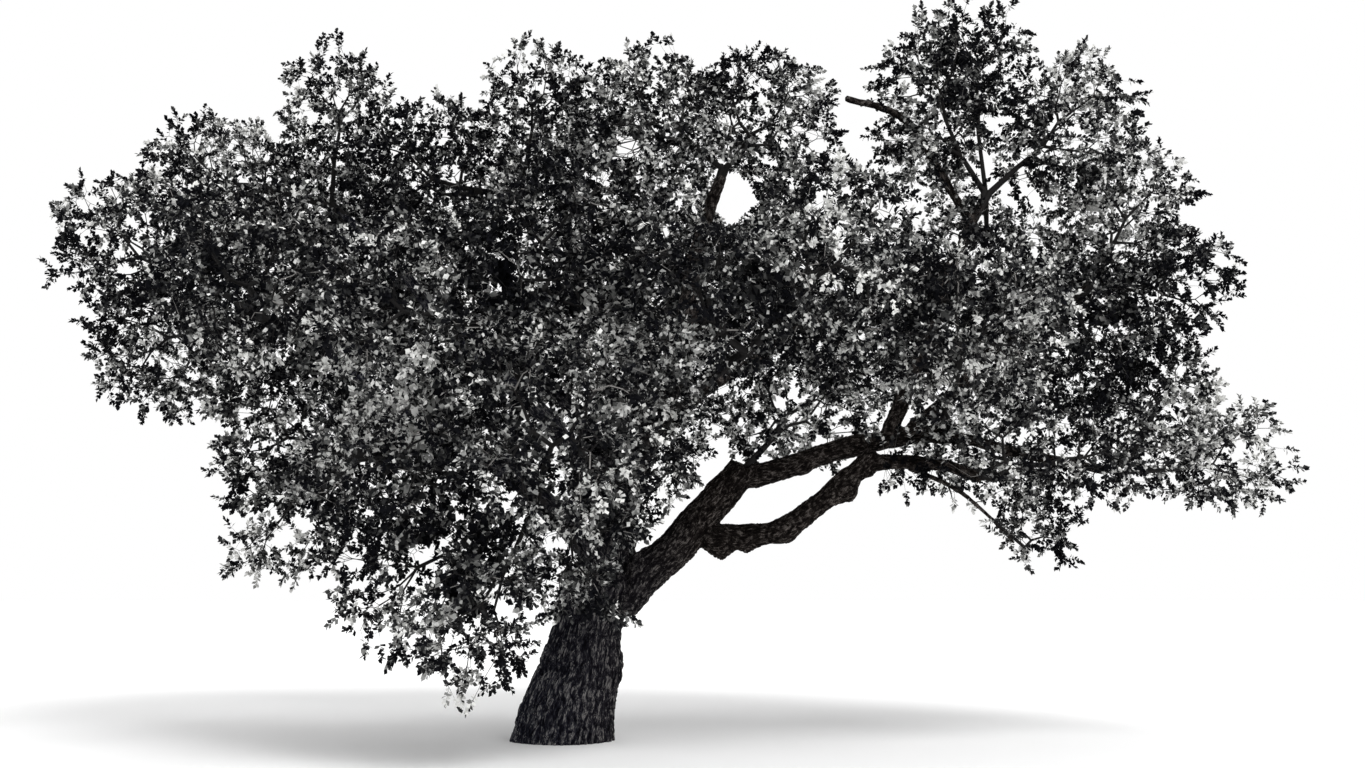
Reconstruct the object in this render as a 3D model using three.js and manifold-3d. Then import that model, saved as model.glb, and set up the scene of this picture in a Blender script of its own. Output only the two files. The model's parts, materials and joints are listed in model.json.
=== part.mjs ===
// A broad, low evergreen oak, rooted in level ground.
// Millimetres, +Z up. The origin is the middle of the flat cut under the trunk, at ground level.
// X runs along the crown's widest spread, from the west end (-X) to the long east arm (+X).
//
// The trunk and each bough are tapering limbs. The crown is a set of foliage masses. Each mass is
// one solid: three-sided twigs that fork by a seeded rule from one stem, with leaf sprays fused on.
import * as THREE from "three";
import { mergeVertices } from "three/addons/utils/BufferGeometryUtils.js";
import Module from "manifold-3d";

const wasm = await Module();
wasm.setup();

// ---------------------------------------------------------------- driving dimensions
const GAP = 0.3; // clear distance between two pieces that meet
const FACET_ROOM = 1.2; // how much wider the room cut round a limb is, for its flat facets
const SHORTEST_EDGE = 0.25; // of a fused solid

const TRUNK = {
  height: 1850,
  lean: 420, // how far the fork stands east of the foot
  leanPower: 1.1, // above 1, the trunk leans more as it rises
  bend: -40, // how far its middle bows towards the front (-Y)
  dome: 280, // the rounded top inside the fork
  baseRadius: 600, // at the ground, without the toes
  waistRadius: 405, // the narrowest place, under the fork
  waistHeight: 1300,
  flarePower: 0.8, // below 1, the flare draws in quickly above the ground
  crotchWidening: 45, // how much the trunk swells again under the fork
  toe: 55, // how far the root flare stands out at the ground
  toeHeight: 130,
  toes: 5,
  toeTurn: 0.6, // turns the toes about the trunk, in radians
  burls: [
    { height: 830, bearing: 0.1, size: 95, spread: 190 },
    { height: 380, bearing: 3.1, size: 50, spread: 170 },
  ],
  sides: 16,
  rings: 10,
  ringPower: 1.25, // above 1, the rings crowd towards the ground
};
const DOME_RINGS = [ // by the trunk's radius and by the dome's height
  { inset: 0.87, rise: 0.3 },
  { inset: 0.55, rise: 0.75 },
];
const LIMB_SIDES = { stout: 8, slim: 6, stoutFrom: 230 }; // a limb is stout from this width at its root
const LIMB_STEP = 700; // distance between two rings of a limb
const LIMB_TAPER = 0.8; // below 1, a limb narrows faster near its root
const LIMB_CROOK = 0.035; // how far a limb wanders off its line, by its length
const LIMB_WAVES = { across: 7.5, up: 9.5, flatness: 0.7 }; // in radians along a limb, and up by across
const LIMB_CAP = 0.7; // the shoulder of a limb's rounded end, by its radius

const TWIG_RADIUS = 26; // of a twig that feeds one seat
const TWIG_GROWTH = 0.3; // a twig's radius grows with the number of seats it feeds, to this power
const TWIG_END = 0.8; // how much a twig narrows to its end, and a stem to its foot
const TWIG_ROOT = 45; // a side twig is pointed at its root, and is full this far out
const TWIG_SWAY = 0.07; // how far a fork wanders off the straight line, by the twig's length
const FORK_AT = 0.42; // a twig forks this far along the way to the middle of the seats it feeds
const STEM_START = 240; // a stem leaves its bough straight for this long
const STEM_SHARE = 0.5; // but no longer than this share of its way to the first fork
const STEM_TURN = 1.2; // the widest angle between a stem's start and its bough, in radians
const STEM_SPREAD = 0.25; // how hard the stems of one bough bend away from each other
const STEM_REACH = 0.25; // a stem's first fork lies no further out than this share of the reach
const SEATS_PER_METRE = 3.8; // twig ends of a mass, by its mean reach
const FEWEST_SEATS = 3;
const SEAT_BAND = [0.4, 0.66]; // twigs end between these shares of a mass's reach
const SEAT_TRIES = 160;
const FAR = 3000; // the distance at which one seat no longer matters to another
const LEAF = { longest: 1.8, shortest: 0.5 }; // by the mean reach of its mass
const LEAF_STEP = 0.9; // a leaf that does not fit is tried this much shorter
const LEAF_SHAPE = { width: 0.8, widestAt: 0.42, thickness: 0.03 }; // by the leaf's length
const LEAF_BERTH = 1.1; // twigs and leaves keep out of a leaf's outline grown by this
const LEAF_SINK = 6; // how far the root of a side leaf runs past the middle of its twig
const LEAF_TRIES = 90;
const REACHING = 3; // how much reaching further out counts against being longer, when a leaf is chosen
const LEAF_LEAN = [0.2, 1.5]; // angle between a leaf and the outward direction, in radians
const LEAF_ROLL = 0.7; // how far a leaf turns its face from the outward direction, in radians
const END_BEND = [0, 1.1]; // angle between a twig and the leaf that it ends in, in radians
const SIDE_BEND = [0.95, 2.2]; // angle between a twig and a leaf on its side, in radians
const SIDE_LEAF_AT = 0.6; // where side leaves sit on each stretch of a twig
const CLEARANCE = 20; // of twigs and leaves from limbs and from the stems of other masses
const SEAT_CLEARANCE = 60; // of a twig's end from limbs and stems
const BEAD_STEP = 60;
const NEAR = 1.15; // beads this far out of a mass, by its reach, no longer matter to it
const GROUND_CLEARANCE = 150;
const SPACE_MARGIN = 4; // of twigs and leaves from the sides of their space

// The limbs. Each grows from a place on an older one (`at` is the share of the way along it) and runs
// to `to`. `bow` lifts its middle, and `across` is its width at each end.
const LIMBS = [
  { name: "leader", on: "trunk", at: 0.86, to: [1950, 350, 7050], bow: -60, across: [610, 150] },
  { name: "east_bough", on: "trunk", at: 0.74, to: [2085, 0, 3110], bow: -75, across: [640, 410] },
  { name: "east_arm", on: "east_bough", at: 0.97, to: [4400, 30, 3650], bow: 45, across: [285, 250] },
  { name: "loop_low", on: "east_bough", at: 0.7, to: [3650, -250, 3300], bow: -455, across: [330, 260] },
  { name: "loop_rise", on: "loop_low", at: 0.97, to: [5080, -400, 3030], bow: 130, across: [240, 120] },
  { name: "east_rail", on: "east_arm", at: 0.92, to: [6700, 150, 3170], bow: 60, across: [190, 110] },
  { name: "spire_bough", on: "east_arm", at: 0.8, to: [5280, 320, 6700], bow: 120, across: [240, 110] },
  { name: "shoulder_bough", on: "east_arm", at: 0.9, to: [6550, 150, 5550], bow: 120, across: [230, 100] },
  { name: "droop", on: "loop_rise", at: 0.23, to: [5420, -420, 2200], bow: 190, across: [100, 46] },
  { name: "west_bough", on: "leader", at: 0.1, to: [-3750, -450, 5050], bow: 160, across: [360, 120] },
  { name: "west_upper", on: "leader", at: 0.22, to: [-3150, 800, 6700], bow: 100, across: [290, 110] },
  { name: "west_lower", on: "west_bough", at: 0.3, to: [-2250, -1450, 3250], bow: 130, across: [200, 100] },
  { name: "left_front_limb", on: "leader", at: 0.26, to: [-550, -1750, 4650], bow: 60, across: [230, 110] },
  { name: "crown_limb", on: "leader", at: 0.45, to: [-650, 450, 6750], bow: 40, across: [230, 100] },
  { name: "left_back_limb", on: "leader", at: 0.14, to: [-850, 2350, 4750], bow: 120, across: [270, 110] },
  { name: "low_front_limb", on: "leader", at: 0.08, to: [-150, -1750, 2680], bow: 190, across: [230, 140] },
  { name: "front_limb", on: "leader", at: 0.36, to: [2150, -1450, 4380], bow: 50, across: [220, 110] },
  { name: "back_limb", on: "leader", at: 0.32, to: [3100, 2000, 5450], bow: 110, across: [240, 110] },
  { name: "cut_stub", on: "spire_bough", at: 0.86, to: [3500, 60, 7900], bow: 480, across: [130, 100] },
];

// The foliage masses: the bough whose tip feeds each, its middle, and its reach along X, Y and Z.
const MASSES = [
  { name: "west_tip", bough: "west_bough", middle: [-4850, -600, 5890], reach: [1300, 1100, 840] },
  { name: "west_low", bough: "west_bough", middle: [-4880, 450, 4750], reach: [1080, 1400, 860] },
  { name: "west_front", bough: "west_bough", middle: [-3100, -1950, 5100], reach: [1060, 1550, 1040] },
  { name: "west_high", bough: "west_upper", middle: [-4480, 800, 6890], reach: [1000, 1250, 860] },
  { name: "west_spire", bough: "west_upper", middle: [-2900, 260, 7790], reach: [700, 860, 930] },
  { name: "west_back", bough: "west_upper", middle: [-3500, 2450, 6400], reach: [1400, 1700, 1300] },
  { name: "west_under", bough: "west_lower", middle: [-3050, -900, 3500], reach: [1010, 1400, 920] },
  { name: "west_hang", bough: "west_lower", middle: [-3330, -1450, 2400], reach: [300, 450, 560] },
  { name: "left_under", bough: "west_lower", middle: [-1520, -2450, 2930], reach: [1000, 1500, 900] },
  { name: "left_front", bough: "left_front_limb", middle: [-1370, -2650, 4500], reach: [1100, 1650, 1040] },
  { name: "front_high", bough: "left_front_limb", middle: [80, -2050, 5250], reach: [1050, 1650, 1040] },
  { name: "left_crown", bough: "crown_limb", middle: [-1650, 300, 6810], reach: [1150, 1650, 1040] },
  { name: "middle_spire", bough: "crown_limb", middle: [-350, -350, 7850], reach: [620, 700, 600] },
  { name: "middle_crown", bough: "crown_limb", middle: [350, 1050, 7350], reach: [1130, 1650, 1120] },
  { name: "left_back", bough: "left_back_limb", middle: [-1950, 3000, 4750], reach: [1600, 1850, 1440] },
  { name: "middle_back", bough: "left_back_limb", middle: [350, 3300, 5450], reach: [1600, 1800, 1600] },
  { name: "front", bough: "low_front_limb", middle: [200, -3000, 3300], reach: [1000, 1550, 1050] },
  { name: "trunk_front", bough: "low_front_limb", middle: [300, -2200, 2000], reach: [820, 1000, 760] },
  { name: "trunk_hang", bough: "low_front_limb", middle: [-700, -2700, 1560], reach: [700, 1000, 860] },
  { name: "left_hang", bough: "low_front_limb", middle: [-1720, -2600, 1500], reach: [500, 600, 420] },
  { name: "top_left", bough: "leader", middle: [1100, -350, 7480], reach: [840, 1150, 780] },
  { name: "top_right", bough: "leader", middle: [2380, 550, 7680], reach: [980, 1350, 820] },
  { name: "centre_front", bough: "front_limb", middle: [1500, -2450, 4850], reach: [960, 1600, 960] },
  { name: "centre_low", bough: "front_limb", middle: [1120, -1700, 3420], reach: [760, 1100, 800] },
  { name: "right_front", bough: "front_limb", middle: [3000, -2200, 5200], reach: [1030, 1600, 980] },
  { name: "right_low", bough: "east_bough", middle: [2800, -150, 4060], reach: [1080, 1300, 790] },
  { name: "centre_back", bough: "back_limb", middle: [2250, 2700, 6200], reach: [1360, 1800, 1300] },
  { name: "right_back", bough: "back_limb", middle: [4250, 2600, 5420], reach: [1430, 1710, 1210] },
  { name: "spire_left", bough: "spire_bough", middle: [4640, 150, 7860], reach: [840, 1050, 1080] },
  { name: "spire_top", bough: "spire_bough", middle: [5250, 500, 8710], reach: [660, 900, 840] },
  { name: "spire_right", bough: "spire_bough", middle: [6325, 250, 7480], reach: [840, 1200, 960] },
  { name: "spire_low", bough: "spire_bough", middle: [5500, 1200, 6300], reach: [1200, 1400, 900] },
  { name: "east_shoulder", bough: "shoulder_bough", middle: [7050, 600, 6350], reach: [820, 1200, 1000] },
  { name: "east_high", bough: "shoulder_bough", middle: [7365, -350, 5295], reach: [690, 1100, 790] },
  { name: "east_front", bough: "east_arm", middle: [4490, -1980, 4640], reach: [1010, 1500, 890] },
  { name: "east_middle", bough: "shoulder_bough", middle: [6030, 300, 4850], reach: [1130, 2000, 1000] },
  { name: "east_low", bough: "loop_rise", middle: [5620, -500, 3310], reach: [1560, 1100, 710] },
  { name: "east_end", bough: "east_rail", middle: [7500, 500, 3950], reach: [800, 1400, 1050] },
  { name: "east_tip", bough: "east_rail", middle: [8080, -250, 3330], reach: [820, 820, 600] },
  { name: "east_drip", bough: "droop", middle: [5600, -450, 2450], reach: [450, 420, 350] },
];

const BARK = new THREE.MeshStandardMaterial({ name: "bark", color: 0x2b2725, roughness: 0.95 });
const FOLIAGE = new THREE.MeshStandardMaterial({ name: "foliage", color: 0x3d413a, roughness: 0.7 });
const UP = new THREE.Vector3(0, 0, 1);

// ---------------------------------------------------------------- small helpers
function seeded(text) {
  let state = 2166136261;
  for (const letter of text) {
    state = Math.imul(state ^ letter.charCodeAt(0), 16777619);
  }
  return function next() {
    state = (state + 0x6d2b79f5) | 0;
    let mixed = Math.imul(state ^ (state >>> 15), 1 | state);
    mixed = (mixed + Math.imul(mixed ^ (mixed >>> 7), 61 | mixed)) ^ mixed;
    return ((mixed ^ (mixed >>> 14)) >>> 0) / 4294967296;
  };
}

function vector(list) {
  return new THREE.Vector3(list[0], list[1], list[2]);
}

function mix(from, to, share) {
  return from + (to - from) * share;
}

// A unit vector in any direction, all equally likely.
function anyDirection(random) {
  const height = random() * 2 - 1;
  const bearing = random() * Math.PI * 2;
  const flat = Math.sqrt(1 - height * height);
  return new THREE.Vector3(flat * Math.cos(bearing), flat * Math.sin(bearing), height);
}

// Two unit vectors square to `axis` and to each other.
function crossAxes(axis) {
  const helper = Math.abs(axis.z) < 0.9 ? UP : new THREE.Vector3(1, 0, 0);
  const side = new THREE.Vector3().crossVectors(helper, axis).normalize();
  return [side, new THREE.Vector3().crossVectors(axis, side)];
}

function middleOf(points) {
  const sum = new THREE.Vector3();
  for (const point of points) {
    sum.add(point);
  }
  return sum.divideScalar(points.length);
}

// ---------------------------------------------------------------- geometry to solid and back
function geometryOf(points, faces) {
  const geometry = new THREE.BufferGeometry();
  const flat = points.flatMap((point) => [point.x, point.y, point.z]);
  geometry.setAttribute("position", new THREE.Float32BufferAttribute(flat, 3));
  geometry.setIndex(faces.flat());
  return geometry;
}

function solidOf(geometry) {
  const merged = mergeVertices(geometry, 1e-3);
  const mesh = new wasm.Mesh({
    numProp: 3,
    vertProperties: new Float32Array(merged.attributes.position.array),
    triVerts: new Uint32Array(merged.index.array),
  });
  return new wasm.Manifold(mesh);
}

// The biggest body of a solid. Loose scraps go, and so do edges too short to keep apart.
// A sealed hollow is a body too, so it is filled.
function mainBody(solid) {
  const bodies = solid.decompose();
  const best = bodies.reduce((one, other) => (other.volume() > one.volume() ? other : one));
  return best.asOriginal().simplify(SHORTEST_EDGE);
}

function meshOf(name, solid, material) {
  const result = solid.getMesh();
  const geometry = new THREE.BufferGeometry();
  geometry.setAttribute("position", new THREE.BufferAttribute(result.vertProperties, 3));
  geometry.setIndex(new THREE.BufferAttribute(result.triVerts, 1));
  geometry.computeVertexNormals();
  const mesh = new THREE.Mesh(geometry, material);
  mesh.name = name;
  return mesh;
}

// A skin over rings of points, drawn in to the points `root` and `tip` at its ends.
function skin(rings, root, tip) {
  const sides = rings[0].length;
  const points = [...rings.flat(), root, tip];
  const [foot, head] = [points.length - 2, points.length - 1];
  const last = (rings.length - 1) * sides;
  const faces = [];
  for (let side = 0; side < sides; side += 1) {
    const next = (side + 1) % sides;
    for (let ring = 0; ring < last; ring += sides) {
      const [a, b] = [ring + side, ring + next];
      faces.push([a, b, b + sides], [a, b + sides, a + sides]);
    }
    faces.push([foot, next, side], [head, last + side, last + next]);
  }
  return geometryOf(points, faces);
}

// Rings square to a path of { at, radius }, carried back along it without twist. The first corner
// of the last ring lies towards `lastSide`.
function ringsAlong(path, sides, lastSide) {
  const rings = [];
  let side = lastSide?.clone();
  for (let i = path.length - 1; i >= 0; i -= 1) {
    const before = path[Math.max(0, i - 1)].at;
    const after = path[Math.min(path.length - 1, i + 1)].at;
    const axis = after.clone().sub(before).normalize();
    side = side ? side.addScaledVector(axis, -side.dot(axis)).normalize() : crossAxes(axis)[0];
    const up = new THREE.Vector3().crossVectors(axis, side);
    rings.unshift(ringOf(path[i].at, side, up, path[i].radius, sides));
  }
  return rings;
}

function ringOf(centre, side, up, radius, sides) {
  const ring = [];
  for (let k = 0; k < sides; k += 1) {
    const turn = (k / sides) * Math.PI * 2;
    const point = centre.clone().addScaledVector(side, radius * Math.cos(turn));
    ring.push(point.addScaledVector(up, radius * Math.sin(turn)));
  }
  return ring;
}

// ---------------------------------------------------------------- trunk
function trunkRadius(height) {
  const { baseRadius, waistRadius, waistHeight, flarePower, crotchWidening } = TRUNK;
  const below = Math.max(0, 1 - height / waistHeight);
  const above = Math.max(0, (height - waistHeight) / (TRUNK.height - waistHeight));
  return waistRadius + (baseRadius - waistRadius) * below ** flarePower + crotchWidening * above;
}

function trunkCentre(height) {
  const share = height / TRUNK.height;
  const east = TRUNK.lean * share ** TRUNK.leanPower;
  return new THREE.Vector3(east, TRUNK.bend * Math.sin(share * Math.PI), height);
}

// How far a burl, a rounded swelling, stands out of the trunk's side at a place.
function burlRelief(burl, height, bearing) {
  const turn = bearing - burl.bearing;
  const across = Math.atan2(Math.sin(turn), Math.cos(turn)) * TRUNK.waistRadius;
  const away = Math.hypot(height - burl.height, across) / burl.spread;
  return burl.size * Math.exp(-away * away);
}

// The root toes at the ground and the burls stand out from the round trunk.
function trunkRelief(height, bearing) {
  const { toes, toeTurn, toeHeight, burls } = TRUNK;
  const toe = TRUNK.toe * Math.exp(-height / toeHeight) * Math.cos(toes * bearing + toeTurn);
  return burls.reduce((sum, burl) => sum + burlRelief(burl, height, bearing), Math.max(0, toe));
}

function trunkRing(height, inset) {
  const ring = [];
  for (let k = 0; k < TRUNK.sides; k += 1) {
    const bearing = (k / TRUNK.sides) * Math.PI * 2;
    const radius = (trunkRadius(height) + trunkRelief(height, bearing)) * inset;
    const point = new THREE.Vector3(radius * Math.cos(bearing), radius * Math.sin(bearing), 0);
    ring.push(point.add(trunkCentre(height)));
  }
  return ring;
}

// `extra` swells the trunk evenly, to cut room for the limbs that grow from it.
function trunkGeometry(extra) {
  const swell = extra / TRUNK.waistRadius;
  const rings = [];
  for (let i = 0; i <= TRUNK.rings; i += 1) {
    const height = TRUNK.height * (i / TRUNK.rings) ** TRUNK.ringPower;
    rings.push(trunkRing(height, 1 + swell));
  }
  for (const { inset, rise } of DOME_RINGS) {
    const height = TRUNK.height + TRUNK.dome * rise + extra;
    rings.push(trunkRing(TRUNK.height, inset + swell).map((point) => point.setZ(height)));
  }
  const tip = trunkCentre(TRUNK.height).setZ(TRUNK.height + TRUNK.dome + extra);
  return skin(rings, new THREE.Vector3(), tip);
}

// ---------------------------------------------------------------- limbs
const paths = new Map(); // each limb's centre line, by name

function placeOn(name, share) {
  if (name === "trunk") {
    return trunkCentre(TRUNK.height * share);
  }
  const path = paths.get(name);
  const exact = share * (path.length - 1);
  const index = Math.min(path.length - 2, Math.floor(exact));
  return path[index].at.clone().lerp(path[index + 1].at, exact - index);
}

function limbPath(limb) {
  const random = seeded(limb.name);
  const start = placeOn(limb.on, limb.at);
  const end = vector(limb.to);
  const length = start.distanceTo(end);
  const [side, up] = crossAxes(end.clone().sub(start).normalize());
  const phases = [random() * Math.PI * 2, random() * Math.PI * 2];
  const count = Math.max(4, Math.round(length / LIMB_STEP));
  const path = [];
  for (let i = 0; i <= count; i += 1) {
    const share = i / count;
    const sway = Math.sin(share * Math.PI) * LIMB_CROOK * length;
    const at = start.clone().lerp(end, share);
    at.addScaledVector(UP, limb.bow * 4 * share * (1 - share));
    at.addScaledVector(side, sway * Math.sin(share * LIMB_WAVES.across + phases[0]));
    at.addScaledVector(up, sway * LIMB_WAVES.flatness * Math.sin(share * LIMB_WAVES.up + phases[1]));
    const across = mix(limb.across[0], limb.across[1], share ** LIMB_TAPER);
    path.push({ at, radius: across / 2 });
  }
  return path;
}

function limbSides(path) {
  return path[0].radius * 2 < LIMB_SIDES.stoutFrom ? LIMB_SIDES.slim : LIMB_SIDES.stout;
}

// A limb's end is a rounded cap, so stems can leave it in any forward direction.
function limbGeometry(path, extra) {
  const end = path[path.length - 1];
  const ahead = end.at.clone().sub(path[path.length - 2].at).normalize();
  const cap = end.radius + extra;
  const shoulder = { at: end.at.clone().addScaledVector(ahead, cap * LIMB_CAP), radius: cap * LIMB_CAP };
  const swollen = path.map((place) => ({ at: place.at, radius: place.radius + extra }));
  const rings = ringsAlong([...swollen, shoulder], limbSides(path));
  return skin(rings, path[0].at, end.at.clone().addScaledVector(ahead, cap));
}

// Each limb gives way to the trunk and to the older limbs, a hair's breadth clear of them.
function buildLimbs() {
  const room = (GAP * FACET_ROOM) / Math.cos(Math.PI / LIMB_SIDES.slim);
  const taken = [solidOf(trunkGeometry(room))];
  const bodies = [];
  for (const limb of LIMBS) {
    const path = limbPath(limb);
    paths.set(limb.name, path);
    const whole = solidOf(limbGeometry(path, 0));
    const clear = whole.subtract(wasm.Manifold.union(taken));
    bodies.push(meshOf(limb.name, mainBody(clear), BARK));
    taken.push(solidOf(limbGeometry(path, room)));
  }
  return bodies;
}

// ---------------------------------------------------------------- the masses' spaces
// How far a mass's reach goes in a direction.
function reachAlong(mass, direction) {
  const [x, y, z] = mass.reach;
  return Math.hypot(direction.x * x, direction.y * y, direction.z * z);
}

function meanReach(mass) {
  return (mass.reach[0] + mass.reach[1] + mass.reach[2]) / 3;
}

// How far out a point lies in a mass: 0 in its middle, 1 at its reach.
function outness(mass, point) {
  const [x, y, z] = mass.reach;
  const [a, b, c] = mass.middle;
  return Math.hypot((point.x - a) / x, (point.y - b) / y, (point.z - c) / z);
}

function tipOf(bough) {
  const path = paths.get(bough);
  const end = path[path.length - 1];
  const ahead = end.at.clone().sub(path[path.length - 2].at).normalize();
  return { at: end.at, radius: end.radius, ahead };
}

// The flat side of `mass` towards `other`: a point lies inside when (point - at) . normal < 0.
// Masses of one bough part at its tip, halfway between their directions.
function sideTowards(mass, other) {
  const here = vector(mass.middle);
  const there = vector(other.middle);
  if (mass.bough === other.bough) {
    const at = tipOf(mass.bough).at;
    const normal = there.sub(at).normalize().sub(here.sub(at).normalize());
    return { at, normal: normal.normalize() };
  }
  const normal = there.clone().sub(here).normalize();
  const [mine, theirs] = [reachAlong(mass, normal), reachAlong(other, normal)];
  const distance = here.distanceTo(there);
  if (mine + theirs < distance) {
    return null;
  }
  const at = here.addScaledVector(normal, (distance * mine) / (mine + theirs));
  return { at, normal };
}

function spaceOf(mass) {
  const sides = [];
  for (const other of MASSES) {
    const side = other === mass ? null : sideTowards(mass, other);
    if (side) {
      sides.push(side);
    }
  }
  return sides;
}

function isInside(mass, sides, point) {
  if (outness(mass, point) > 1 || point.z < GROUND_CLEARANCE) {
    return false;
  }
  return sides.every(({ at, normal }) => point.clone().sub(at).dot(normal) < -SPACE_MARGIN);
}

// ---------------------------------------------------------------- stems
function seatCount(mass) {
  return Math.max(FEWEST_SEATS, Math.round((meanReach(mass) / 1000) * SEATS_PER_METRE));
}

function twigRadius(seats) {
  return TWIG_RADIUS * seats ** TWIG_GROWTH;
}

function directionFromTip(mass) {
  return vector(mass.middle).sub(tipOf(mass.bough).at).normalize();
}

// A stem starts towards its mass, but bends away from the other stems of its bough.
function stemStart(mass) {
  const own = directionFromTip(mass);
  const start = own.clone();
  for (const other of MASSES) {
    if (other !== mass && other.bough === mass.bough) {
      const apart = own.clone().sub(directionFromTip(other));
      start.addScaledVector(apart, STEM_SPREAD / apart.lengthSq());
    }
  }
  const { ahead } = tipOf(mass.bough);
  const turn = Math.min(STEM_TURN, start.angleTo(ahead));
  const axis = new THREE.Vector3().crossVectors(ahead, start).normalize();
  return ahead.clone().applyAxisAngle(axis, turn);
}

// A stem leaves the rounded end of its bough and runs into its mass.
function stemPath(mass) {
  const tip = tipOf(mass.bough);
  const middle = vector(mass.middle);
  const start = stemStart(mass);
  const share = Math.max(FORK_AT, 1 - STEM_REACH / outness(mass, tip.at));
  const radius = twigRadius(seatCount(mass));
  const foot = tip.at.clone().addScaledVector(start, tip.radius + GAP);
  const run = Math.min(STEM_START, tip.at.distanceTo(middle) * share * STEM_SHARE);
  return [
    { at: foot, radius: radius * TWIG_END },
    { at: foot.clone().addScaledVector(start, run), radius },
    { at: tip.at.clone().lerp(middle, share), radius },
  ];
}

// Beads strung along a path stand for it when others must keep clear of it.
function beadsAlong(path, owner) {
  const beads = [];
  for (let i = 0; i + 1 < path.length; i += 1) {
    const [from, to] = [path[i], path[i + 1]];
    const count = Math.ceil(from.at.distanceTo(to.at) / BEAD_STEP);
    for (let k = 0; k <= count; k += 1) {
      const share = k / count;
      const at = from.at.clone().lerp(to.at, share);
      beads.push({ at, radius: mix(from.radius, to.radius, share), owner });
    }
  }
  return beads;
}

function allBeads() {
  const trunkPath = [];
  for (let i = 0; i <= TRUNK.rings; i += 1) {
    const height = (TRUNK.height * i) / TRUNK.rings;
    trunkPath.push({ at: trunkCentre(height), radius: trunkRadius(height) + TRUNK.toe });
  }
  const beads = beadsAlong(trunkPath, "trunk");
  for (const [name, path] of paths) {
    beads.push(...beadsAlong(path, name));
  }
  for (const mass of MASSES) {
    beads.push(...beadsAlong(stemPath(mass), mass.name));
  }
  return beads;
}

// The beads a mass must keep clear of: those near it, less its own stem's.
function beadsNear(mass, beads) {
  return beads.filter((bead) => {
    const room = bead.radius / Math.min(...mass.reach);
    return bead.owner !== mass.name && outness(mass, bead.at) < NEAR + room;
  });
}

// ---------------------------------------------------------------- twigs
function twigIsClear(from, to, radius, beads) {
  const line = new THREE.Line3(from, to);
  const nearest = new THREE.Vector3();
  return beads.every((bead) => {
    line.closestPointToPoint(bead.at, true, nearest);
    return nearest.distanceTo(bead.at) > bead.radius + radius + CLEARANCE;
  });
}

// Seats are spread evenly: each is the one of many tries that lies furthest from those before.
function pickSeats(mass, sides, beads, random) {
  const seats = [];
  for (let i = 0; i < seatCount(mass); i += 1) {
    let best = null;
    let bestRoom = 0;
    for (let k = 0; k < SEAT_TRIES; k += 1) {
      const out = mix(SEAT_BAND[0], SEAT_BAND[1], random());
      const direction = anyDirection(random);
      const seat = vector(mass.reach).multiply(direction).multiplyScalar(out).add(vector(mass.middle));
      const room = Math.min(FAR, ...seats.map((other) => other.distanceTo(seat)));
      if (room > bestRoom && isInside(mass, sides, seat) && seatIsClear(seat, beads)) {
        best = seat;
        bestRoom = room;
      }
    }
    if (best) {
      seats.push(best);
    }
  }
  return seats;
}

function seatIsClear(seat, beads) {
  return beads.every((bead) => bead.at.distanceTo(seat) > bead.radius + SEAT_CLEARANCE);
}

function halves(points) {
  const box = new THREE.Box3().setFromPoints(points);
  const size = box.getSize(new THREE.Vector3());
  const widest = ["x", "y", "z"].reduce((best, axis) => (size[axis] > size[best] ? axis : best));
  const sorted = [...points].sort((a, b) => a[widest] - b[widest]);
  const half = Math.ceil(sorted.length / 2);
  return [sorted.slice(0, half), sorted.slice(half)];
}

// A twig heads for the middle of the seats it feeds. At each fork it keeps one half of them, and a
// side twig sets off for the other half, until each twig ends at a seat of its own.
function growTwig(path, seats, mass, beads, random, twigs) {
  const sideTwigs = [];
  let rest = seats;
  while (rest.length > 0) {
    const here = path[path.length - 1];
    const isLast = rest.length === 1;
    const at = isLast ? rest[0] : here.at.clone().lerp(middleOf(rest), FORK_AT);
    at.addScaledVector(anyDirection(random), isLast ? 0 : TWIG_SWAY * here.at.distanceTo(at));
    const radius = twigRadius(rest.length) * (isLast ? TWIG_END : 1);
    if (!twigIsClear(here.at, at, radius, beads)) {
      break;
    }
    path.push({ at, radius });
    const [kept, given] = isLast ? [[], []] : halves(rest);
    if (given.length > 0) {
      sideTwigs.push({ from: at, seats: given });
    }
    rest = kept;
  }
  if (path.length > 1) {
    twigs.push(path);
  }
  for (const { from, seats: given } of sideTwigs) {
    growTwig([{ at: from, radius: 0 }], given, mass, beads, random, twigs);
  }
}

// ---------------------------------------------------------------- leaves
// A leaf is a long flat diamond, thickest in its middle.
function leafAt(root, direction, face, length) {
  const across = new THREE.Vector3().crossVectors(direction, face).normalize();
  const tip = root.clone().addScaledVector(direction, length);
  const middle = root.clone().lerp(tip, LEAF_SHAPE.widestAt);
  const halfWidth = (length * LEAF_SHAPE.width) / 2;
  const halfThick = (length * LEAF_SHAPE.thickness) / 2;
  const left = middle.clone().addScaledVector(across, halfWidth);
  const right = middle.clone().addScaledVector(across, -halfWidth);
  const front = middle.clone().addScaledVector(face, halfThick);
  const back = middle.clone().addScaledVector(face, -halfThick);
  return {
    root,
    tip,
    middle,
    direction,
    across,
    face,
    length,
    rootLength: root.distanceTo(middle),
    tipLength: tip.distanceTo(middle),
    halfWidth,
    corners: [root, tip, left, right, front, back],
    edges: [
      [root, left],
      [left, tip],
      [tip, right],
      [right, root],
    ],
  };
}

const LEAF_FACES = [
  [0, 2, 4],
  [2, 1, 4],
  [1, 3, 4],
  [3, 0, 4],
  [2, 0, 5],
  [1, 2, 5],
  [3, 1, 5],
  [0, 3, 5],
];

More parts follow.
